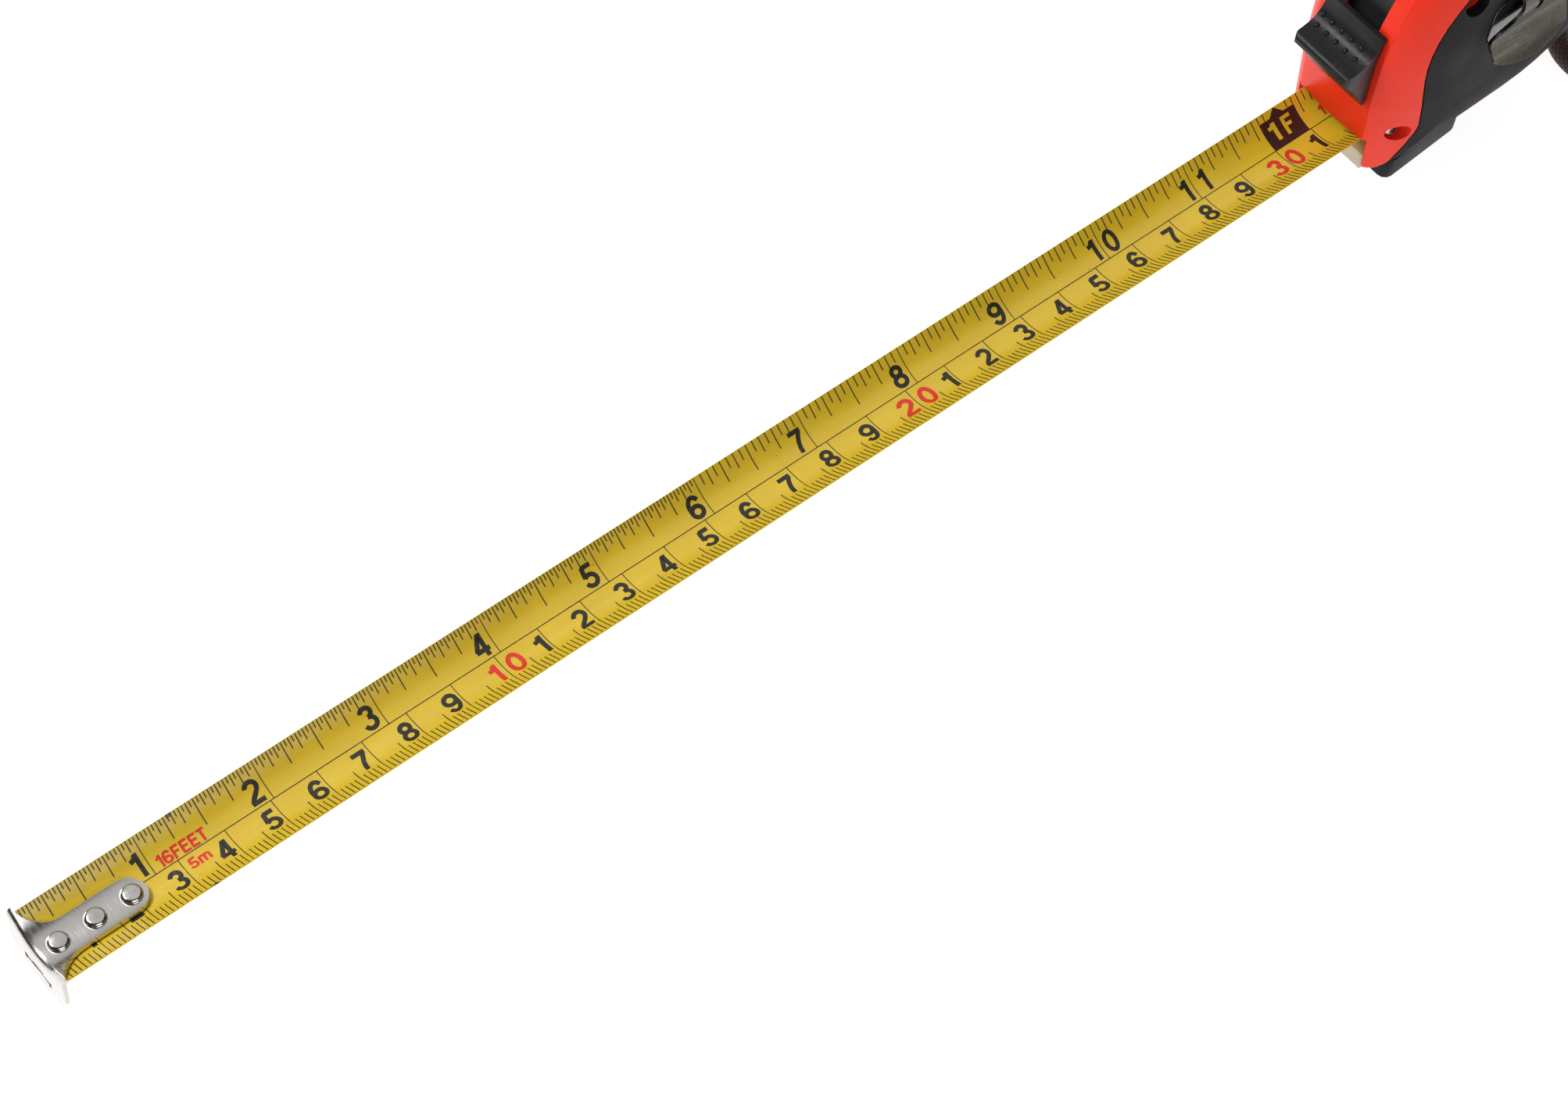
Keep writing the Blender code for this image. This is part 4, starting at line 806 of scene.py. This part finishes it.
figureStrokes = {  # centre lines in a box 3.05 wide and 4.8 high
    "0": [turnPoints(1.52, 2.4, 1.17, 2.05, 90, 450, 26)],
    "1": [[(1.5, 0.0), (1.5, 4.8)], [(0.1, 3.55), (0.75, 3.68), (1.12, 3.95), (1.35, 4.5)]],
    "2": [turnPoints(1.5, 3.38, 1.13, 1.08, 172, -22) + [(2.35, 2.6), (1.75, 1.95), (1.0, 1.25), (0.6, 0.72),
                                                         (0.5, 0.36)],
          [(0.12, 0.35), (2.9, 0.35)]],
    "3": [turnPoints(1.45, 3.5, 1.03, 0.95, 168, -88), turnPoints(1.45, 1.45, 1.18, 1.11, 90, -168)],
    "4": [[(1.95, 4.6), (0.28, 1.42)], [(0.08, 1.38), (2.97, 1.38)], [(2.1, 0.0), (2.1, 4.8)]],
    "5": [[(0.72, 4.44), (2.75, 4.44)], [(0.86, 4.6), (0.56, 2.25)],
          turnPoints(1.45, 1.52, 1.2, 1.17, 142, -166)],
    "6": [turnPoints(1.54, 1.48, 1.17, 1.12, 90, 450, 22), turnPoints(1.62, 2.42, 1.25, 2.04, 206, 34, 18)],
    "7": [[(0.1, 4.43), (2.95, 4.43)], [(2.62, 4.35), (2.0, 3.3), (1.5, 2.2), (1.2, 1.1), (1.1, 0.0)]],
    "8": [turnPoints(1.52, 3.5, 0.98, 0.95, 90, 450, 20), turnPoints(1.52, 1.43, 1.17, 1.09, 90, 450, 22)],
    "9": [turnPoints(1.51, 3.32, 1.17, 1.12, 90, 450, 22), turnPoints(1.43, 2.38, 1.25, 2.04, 26, -146, 18)],
    "F": [[(0.45, 0.0), (0.45, 4.8)], [(0.2, 4.44), (2.7, 4.44)], [(0.4, 2.5), (2.35, 2.5)]],
    "E": [[(0.45, 0.0), (0.45, 4.8)], [(0.2, 4.44), (2.75, 4.44)], [(0.4, 2.5), (2.55, 2.5)],
          [(0.2, 0.36), (2.8, 0.36)]],
    "T": [[(1.4, 0.0), (1.4, 4.6)], [(0.05, 4.44), (2.75, 4.44)]],
    "m": [[(0.45, 0.0), (0.45, 3.5)], turnPoints(1.3, 2.5, 0.85, 0.7, 180, 0, 8) + [(2.15, 0.0)],
          turnPoints(3.0, 2.5, 0.85, 0.7, 180, 0, 8) + [(3.85, 0.0)]],
}
figureWidths = {"1": 1.9, "m": 4.3, "E": 2.85, "F": 2.75, "T": 2.8}


# a flat strip of even width along a line of points
def strokeStrip(points):
    deselectAll()
    bpy.ops.mesh.primitive_grid_add(x_subdivisions=len(points) - 1, y_subdivisions=1, size=2)
    obj = bpy.context.object
    columns = sorted({round(v.co.x, 4) for v in obj.data.vertices})
    path = [Vector(p) for p in points]
    for vertex in obj.data.vertices:
        k = columns.index(round(vertex.co.x, 4))
        ahead = path[min(k + 1, len(path) - 1)] - path[max(k - 1, 0)]
        if (path[0] - path[-1]).length < 0.001 and k in (0, len(path) - 1):
            ahead = path[1] - path[-2]
        side = Vector((-ahead.y, ahead.x)).normalized() * strokeWidth / 2
        place = path[k] + side * vertex.co.y
        vertex.co = (place.x, place.y, 0)
    return obj


# figures and letters drawn with even strokes, then fitted to their place on the blade
def figure(text, left, right, foot, head):
    strips, start = [], 0.0
    for letter in text:
        for points in figureStrokes[letter]:
            strips.append(strokeStrip([(x + start, y) for x, y in points]))
        start += figureWidths.get(letter, 3.05) + 0.35
    obj = joined("figure", strips)
    high = 3.5 if text == "m" else 4.8
    wide, tall = (right - left) / (start - 0.35), (head - foot) / high
    for vertex in obj.data.vertices:
        vertex.co = (blade["zeroX"] + (left + vertex.co.x * wide) * mm, (foot + vertex.co.y * tall) * mm, 0)
    return obj


# a flat bar on the blade
def bar(left, right, foot, head):
    deselectAll()
    middleX, middleY = (left + right) / 2 * mm, (foot + head) / 2 * mm
    bpy.ops.mesh.primitive_plane_add(size=1, location=(blade["zeroX"] + middleX, middleY, 0))
    obj = bpy.context.object
    obj.scale = ((right - left) * mm, (head - foot) * mm, 1)
    return settle(obj)


def tick(x, foot, head, width):
    return bar(x - width / 2, x + width / 2, foot, head)


# cuts a flat piece along the blade so that it can follow the curve
def cutAcross(obj, step=0.55):
    pick(obj)
    ys = [v.co.y for v in obj.data.vertices]
    level = math.ceil(min(ys) / (step * mm)) * step * mm
    while level < max(ys):
        editAll(obj, (bpy.ops.mesh.bisect, {"plane_co": (0, level, 0), "plane_no": (0, 1, 0)}))
        level += step * mm
    return obj


def inkOnBlade(name, pieces, material, body, lift=0.0):
    obj = joined(name, pieces)
    cutAcross(obj)
    modify(obj, "SOLIDIFY", thickness=blade["inkThick"], offset=1)
    wrapOnBlade(obj, blade["thick"] + blade["inkLift"] + lift * mm)
    dress(obj, material, body, 30)
    if body == "case":
        foldAway(obj)
    return obj


# the bars of both scales between two places on the blade
def tickRows(first, last):
    made = []
    width, line = marks["tickWidth"], marks["lineWidth"]
    centre = marks["centreLine"]
    for n in range(1, 13):  # full lines at the inches
        if first < inch * n <= last and n != 12:
            made.append(tick(inch * n, centre, marks["topEdge"], line))
    for part, end in marks["inchTicks"].items():
        pitch = inch / part
        stop = 6 * inch if part == 32 else last
        k = math.floor(first / pitch) + 1
        while k * pitch <= min(stop, last):
            if part == 2 or k % 2:  # finer ticks stand between the coarser ones
                x = k * pitch
                inBox = footBox["left"] < x < footBox["right"]
                if abs(x / inch - round(x / inch)) > 0.001:
                    foot = max(end, footBox["head"] + 0.15) if inBox else end
                    if not (inBox and abs(x - footBox["tip"]) < footBox["tipHalf"]):
                        made.append(tick(x, foot, marks["topEdge"], width))
            k += 1
    k = math.floor(first) + 1
    while k <= last:
        end = centre if k % 10 == 0 else marks["halfTick"] if k % 5 == 0 else marks["mmTick"]
        made.append(tick(k, marks["lowEdge"], end, line if k % 10 == 0 else width * 0.9))
        k += 1
    made.append(bar(first, last, centre - line / 2, centre + line / 2))
    return made


def makePrinting():
    seam = (blade["seamX"] - blade["zeroX"]) / mm
    for ending, body, first, last in (("Front", "blade", 1.1, seam),
                                      ("Run", "case", seam, marks["lastMark"])):
        inkOnBlade("scaleLines" + ending, tickRows(first, last), "inkBlack", body)
        for material, rows in figureRows.items():
            here = [row for row in rows if first < row[1] <= last]
            if here:
                inkOnBlade(figureNames[material] + ending, [figure(*row) for row in here], material, body,
                           0.03 if material == "bladeYellow" else 0.0)
    box = bar(footBox["left"], footBox["right"], footBox["foot"], footBox["head"])
    deselectAll()
    bpy.ops.mesh.primitive_circle_add(vertices=3, radius=1, fill_type="NGON", location=(0, 0, 0))
    arrow = bpy.context.object
    tips = ((footBox["tip"], footBox["tipHead"]),
            (footBox["tip"] - footBox["tipHalf"], footBox["head"] - 0.1),
            (footBox["tip"] + footBox["tipHalf"], footBox["head"] - 0.1))
    for vertex, (x, s) in zip(arrow.data.vertices, tips):
        vertex.co = (blade["zeroX"] + x * mm, s * mm, 0)
    tidyMesh(arrow)
    inkOnBlade("footBox", [box, arrow], "inkBox", "case", -0.003)


makeBlade()
print("blade made")
makePrinting()
print("scales printed")


# hook

hook = {
    "zeroX": -348.0 * mm,
    "play": 0.5 * mm,
    "thick": 0.9 * mm,
    "bend": 1.3 * mm,
    "wideHalf": 10.8 * mm,
    "tongueHalf": 4.2 * mm,
    "length": 22.55 * mm,
    "flare": 8.0 * mm,
    "flarePower": 2.8,
    "lipLow": 7.8 * mm,
    "lipSide": 5.8 * mm,
    "lipCorner": 2.2 * mm,
    "slot": (8.0 * mm, 1.5 * mm, 3.6 * mm),
    "rise": 0.45 * mm,  # clear of the blade's lower face, at the plate's underside
    "rivetX": (4.2 * mm, 11.9 * mm, 19.5 * mm),
}


def hookHalf(x):
    end = hook["length"] - hook["tongueHalf"]
    if x > end:
        return math.sqrt(max(hook["tongueHalf"] ** 2 - (x - end) ** 2, (0.4 * mm) ** 2))
    if x > hook["flare"]:
        return hook["tongueHalf"]
    share = 1 - max(x, 0.0) / hook["flare"]
    return hook["tongueHalf"] + (hook["wideHalf"] - hook["tongueHalf"]) * share ** hook["flarePower"]


# (kind, place) down the lip, round the bend and back along the plate
def hookRows():
    rows = [("lip", k / 9) for k in range(9, 0, -1)]
    rows += [("bend", k / 5) for k in range(5, 0, -1)]
    face = hook["bend"] - hook["play"]
    flat = hook["length"] - hook["tongueHalf"]
    rows += [("plate", face + (hook["flare"] - face) * k / 9) for k in range(0, 9)]
    rows += [("plate", hook["flare"] + (flat - hook["flare"]) * k / 6) for k in range(0, 6)]
    rows += [("plate", flat + (hook["tongueHalf"]) * math.sin(math.pi / 2 * k / 7)) for k in range(0, 8)]
    return rows


# a point of the sheet's outer face; share runs from -1 to 1 across
def hookPoint(kind, place, share):
    outer = hook["rise"] + hook["thick"]
    face = hook["zeroX"] - hook["play"]
    bend = hook["bend"]
    if kind == "plate":
        s = share * hookHalf(place)
        y, z = section(s, outer)
        return Vector((hook["zeroX"] + place, y, z))
    s = share * hook["wideHalf"]
    y, top = section(s, outer)
    if kind == "bend":
        angle = math.pi / 2 * place
        return Vector((face + bend * (1 - math.sin(angle)), y, top - bend * (1 - math.cos(angle))))
    low = blade["lowZ"] - hook["lipLow"] + (hook["lipLow"] - hook["lipSide"]) * share ** 2
    low += hook["lipCorner"] * max(0.0, abs(share) - 0.86) / 0.14
    start = top - bend
    return Vector((face, y, start + (low - start) * place))


def makeHook():
    rows, across = hookRows(), 22
    deselectAll()
    bpy.ops.mesh.primitive_grid_add(x_subdivisions=len(rows) - 1, y_subdivisions=across, size=2)
    piece = rename(bpy.context.object, "hookPlate")
    columns = sorted({round(v.co.x, 5) for v in piece.data.vertices})
    for vertex in piece.data.vertices:
        kind, place = rows[columns.index(round(vertex.co.x, 5))]
        vertex.co = hookPoint(kind, place, vertex.co.y)
    wide, tall, drop = hook["slot"]
    lipFace = hook["zeroX"] - hook["play"] + 0.05 * mm
    slotZ = blade["lowZ"] - drop

    def inSlot(middle):
        return middle.x < lipFace and abs(middle.y) < wide / 2 and abs(middle.z - slotZ) < tall / 2

    cutFaces(piece, inSlot)
    faceTowards(piece, (0, 0, 1))
    sheetMetal(piece, hook["thick"], -1, 0.22 * mm, 3, 50)
    dress(piece, "hookNickel", "hook", 40)
    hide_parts("end_hook")


# a domed head, its shank and the flat tail under the blade
def makeRivet(number, x):
    headLow = blade["lowZ"] + hook["rise"] + hook["thick"] + 0.05 * mm
    radius, high = 2.15 * mm, 0.9 * mm
    parts = []
    for r, low, top, rounding in ((radius, headLow - 0.25 * mm, headLow + high, 0.8 * mm),
                                  (1.0 * mm, 8.0 * mm, headLow, 0.0),
                                  (1.9 * mm, 7.95 * mm, 8.35 * mm, 0.15 * mm)):
        deselectAll()
        bpy.ops.mesh.primitive_cylinder_add(vertices=40, radius=r, depth=top - low,
                                            location=(hook["zeroX"] + x, 0, (low + top) / 2))
        part = settle(bpy.context.object)
        if rounding:
            bpy.ops.object.mode_set(mode="EDIT")
            bpy.ops.mesh.select_all(action="DESELECT")
            bpy.ops.object.mode_set(mode="OBJECT")
            for edge in part.data.edges:
                ends = [part.data.vertices[i].co.z for i in edge.vertices]
                edge.select = min(ends) > top - 0.01 * mm if r == radius else max(ends) < low + 0.01 * mm
            bpy.ops.object.mode_set(mode="EDIT")
            bpy.ops.mesh.bevel(offset=rounding, segments=6, profile=0.42 if r == radius else 0.5)
            bpy.ops.object.mode_set(mode="OBJECT")
        parts.append(part)
    piece = joined(f"rivet{number}", parts)
    dress(piece, "rivetNickel", "blade", 30)
    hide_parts(f"hook_rivet_{number}")


makeHook()
for rivetNumber, rivetX in enumerate(hook["rivetX"], 1):
    makeRivet(rivetNumber, rivetX)
print("hook and rivets made")


# case halves, rubber, foot and lock, finished from merged copies of their nodes

shells = (  # node, piece, finish, body, slot, smoothing angle
    ("case_body", "caseBody", "caseOrange", "case", "case_orange", 32),
    ("case_cover", "caseCover", "caseOrange", "case", "case_orange", 32),
    ("rubber_near", "rubberNear", "rubberBlack", "case", "rubber_black", 32),
    ("rubber_far", "rubberFar", "rubberBlack", "case", "rubber_black", 32),
    ("base_foot", "foot", "footBlack", "case", "foot_rubber", 38),
    ("blade_guide", "bladeGuide", "guideIvory", "case", "guide_ivory", 30),
    ("lock_retainer", "sliderRetainer", "innerBlack", "lock", "lock_plastic", 30),
    ("lock_wedge", "brakeTongue", "innerBlack", "lock", "lock_plastic", 30),
    ("reel_drum", "reelDrum", "reelGrey", "reel", "reel_plastic", 30),
    ("blade_coil", "bladeCoil", "bladeYellow", "reel", "blade_yellow", 30),
    ("main_spring", "mainSpring", "springSteel", "reel", "spring_steel", 30),
    ("spring_cover", "springCover", "springSteel", "reel", "spring_cover_steel", 30),
    ("centre_post", "centrePost", "screwSteel", "case", "post_steel", 30),
    ("clip_screw", "clipScrew", "screwSteel", "case", "screw_steel", 30),
    ("clip_nut", "clipNut", "nutBrass", "case", "nut_brass", 30),
    ("strap_pin", "strapPin", "screwSteel", "case", "screw_steel", 30),
    ("screw_front_lower", "screwFrontLower", "screwSteel", "case", "screw_steel", 30),
    ("screw_front_upper", "screwFrontUpper", "screwSteel", "case", "screw_steel", 30),
    ("screw_rear_lower", "screwRearLower", "screwSteel", "case", "screw_steel", 30),
    ("screw_rear_upper", "screwRearUpper", "screwSteel", "case", "screw_steel", 30),
    ("side_label_near", "labelNear", "labelGloss", "case", "label_gloss", 30),
    ("side_label_far", "labelFar", "labelGloss", "case", "label_gloss", 30),
)


softEdges = {"foot": 0.7 * mm, "bladeGuide": 0.35 * mm, "labelNear": 0.12 * mm, "labelFar": 0.12 * mm}
seam = {"y": -9.3 * mm, "closeBy": 0.27 * mm}


# brings the cover's rim up to the body, which leaves a hairline joint
def closeSeam(piece):
    for vertex in piece.data.vertices:
        if abs(vertex.co.y - seam["y"]) < 0.02 * mm:
            vertex.co.y += seam["closeBy"]


def makeShells():
    made = {}
    for node, name, finish, body, slotName, angle in shells:
        piece = copyOfNode(node, name)
        if name == "caseCover":
            closeSeam(piece)
        if name in softEdges:
            modify(piece, "BEVEL", width=softEdges[name], segments=3, limit_method="ANGLE",
                   angle_limit=math.radians(38), harden_normals=False)
        dress(piece, finish, body, angle)
        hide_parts(node)
        made[name] = piece
    return made


pieces = makeShells()
print("shells finished:", len(pieces))


# thumb slider with its two rows of bumps

slider = {
    "edge": 0.55 * mm,
    "bumpRadius": 0.62 * mm,
    "bumpHigh": 0.42 * mm,
    "rows": (  # x, z and the bumps' places across
        (-37.45, 39.35, (6.7, 3.95, 1.2, -1.55, -4.3)),
        (-39.35, 37.95, (6.1, 3.35, 0.6, -2.15, -4.9)),
    ),
    "facing": Vector((-0.55, 0, 0.83)),
}


def makeSlider():
    piece = copyOfNode("thumb_lock", "thumbSlider")
    modify(piece, "BEVEL", width=slider["edge"], segments=4, limit_method="ANGLE",
           angle_limit=math.radians(42))
    bumps = []
    facing = slider["facing"].normalized()
    for x, z, across in slider["rows"]:
        for y in across:
            near = Vector((x, y, z)) * mm
            hit, spot, normal, _ = piece.ray_cast(near + facing * 4 * mm, -facing)
            deselectAll()
            bpy.ops.mesh.primitive_uv_sphere_add(segments=16, ring_count=8, radius=1, location=(0, 0, 0))
            bump = bpy.context.object
            bump.scale = (slider["bumpRadius"], slider["bumpRadius"], slider["bumpHigh"])
            bump.rotation_euler = (normal if hit else facing).to_track_quat("Z", "Y").to_euler()
            bump.location = spot if hit else near
            bumps.append(settle(bump))
    dress(piece, "sliderBlack", "lock", 40)
    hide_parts("thumb_lock")
    bumpPiece = joined("sliderBumps", bumps)
    dress(bumpPiece, "sliderBlack", "lock", 40)


makeSlider()
print("slider made")


# belt clip, bent from a strip that is cut to its outline

clip = {
    "x": -4.9 * mm,
    "thick": 0.85 * mm,
    "outline": (  # half width at each height, and where the strip's inner face stands
        # z, half width, y
        (61.4, 1.2, 17.3), (61.2, 2.6, 17.3), (60.4, 4.2, 17.3), (58.8, 5.3, 17.3), (56.5, 5.9, 17.3),
        (54.2, 5.8, 17.3), (52.6, 5.4, 17.3), (51.6, 5.1, 17.3),
        (50.4, 4.9, 18.25), (49.0, 4.8, 19.5), (47.6, 4.85, 19.9), (46.0, 5.2, 19.8), (44.2, 6.0, 19.3),
        (42.4, 7.4, 18.8), (41.0, 9.0, 18.5),
        (40.2, 10.2, 18.4), (39.6, 10.75, 18.5), (38.9, 10.9, 18.7), (38.1, 10.8, 19.1), (36.8, 10.6, 19.8),
        (35.6, 10.4, 20.4), (34.7, 10.2, 20.9),
    ),
    "lowEdge": 32.35 * mm,     # the lip's lowest point, in its middle
    "lipDrop": (34.7 * mm, 20.9 * mm, -0.62),  # last row's z and y, and how far y goes out for each step down
    "slot": (44.9 * mm, 50.4 * mm, 1.9 * mm),
    "hole": 1.9 * mm,
    "screwZ": 55.5 * mm,
    "edge": 0.16 * mm,
}


def makeClip():
    across = 16
    outline = clip["outline"]
    lipRows = 4
    deselectAll()
    bpy.ops.mesh.primitive_grid_add(x_subdivisions=across, y_subdivisions=len(outline) - 1 + lipRows, size=2)
    piece = rename(bpy.context.object, "beltClip")
    rows = sorted({round(v.co.y, 5) for v in piece.data.vertices}, reverse=True)
    for vertex in piece.data.vertices:
        k, share = rows.index(round(vertex.co.y, 5)), vertex.co.x
        z, half, y = (value * mm for value in outline[min(k, len(outline) - 1)])
        if k >= len(outline):  # the lip's convex end
            part = (k - len(outline) + 1) / lipRows
            reach = (z - clip["lowEdge"]) * (1 - share ** 2)
            z -= reach * part
            y += reach * part * -clip["lipDrop"][2]
        vertex.co = (clip["x"] + share * half, -y, z)
    slotLow, slotHigh, slotHalf = clip["slot"]

    def inOpening(middle):
        taper = slotHalf * (middle.z - slotLow) / (slotHigh - slotLow)
        inSlot = slotLow < middle.z < slotHigh and abs(middle.x - clip["x"]) < max(taper, 0.4 * mm)
        return inSlot or Vector((middle.x - clip["x"], middle.z - clip["screwZ"])).length < clip["hole"]

    cutFaces(piece, inOpening)
    faceTowards(piece, (0, -1, 0))
    sheetMetal(piece, clip["thick"], 1, clip["edge"], 2, 55)
    dress(piece, "clipSteel", "clip", 40)
    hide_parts("belt_clip")


makeClip()
print("belt clip made")
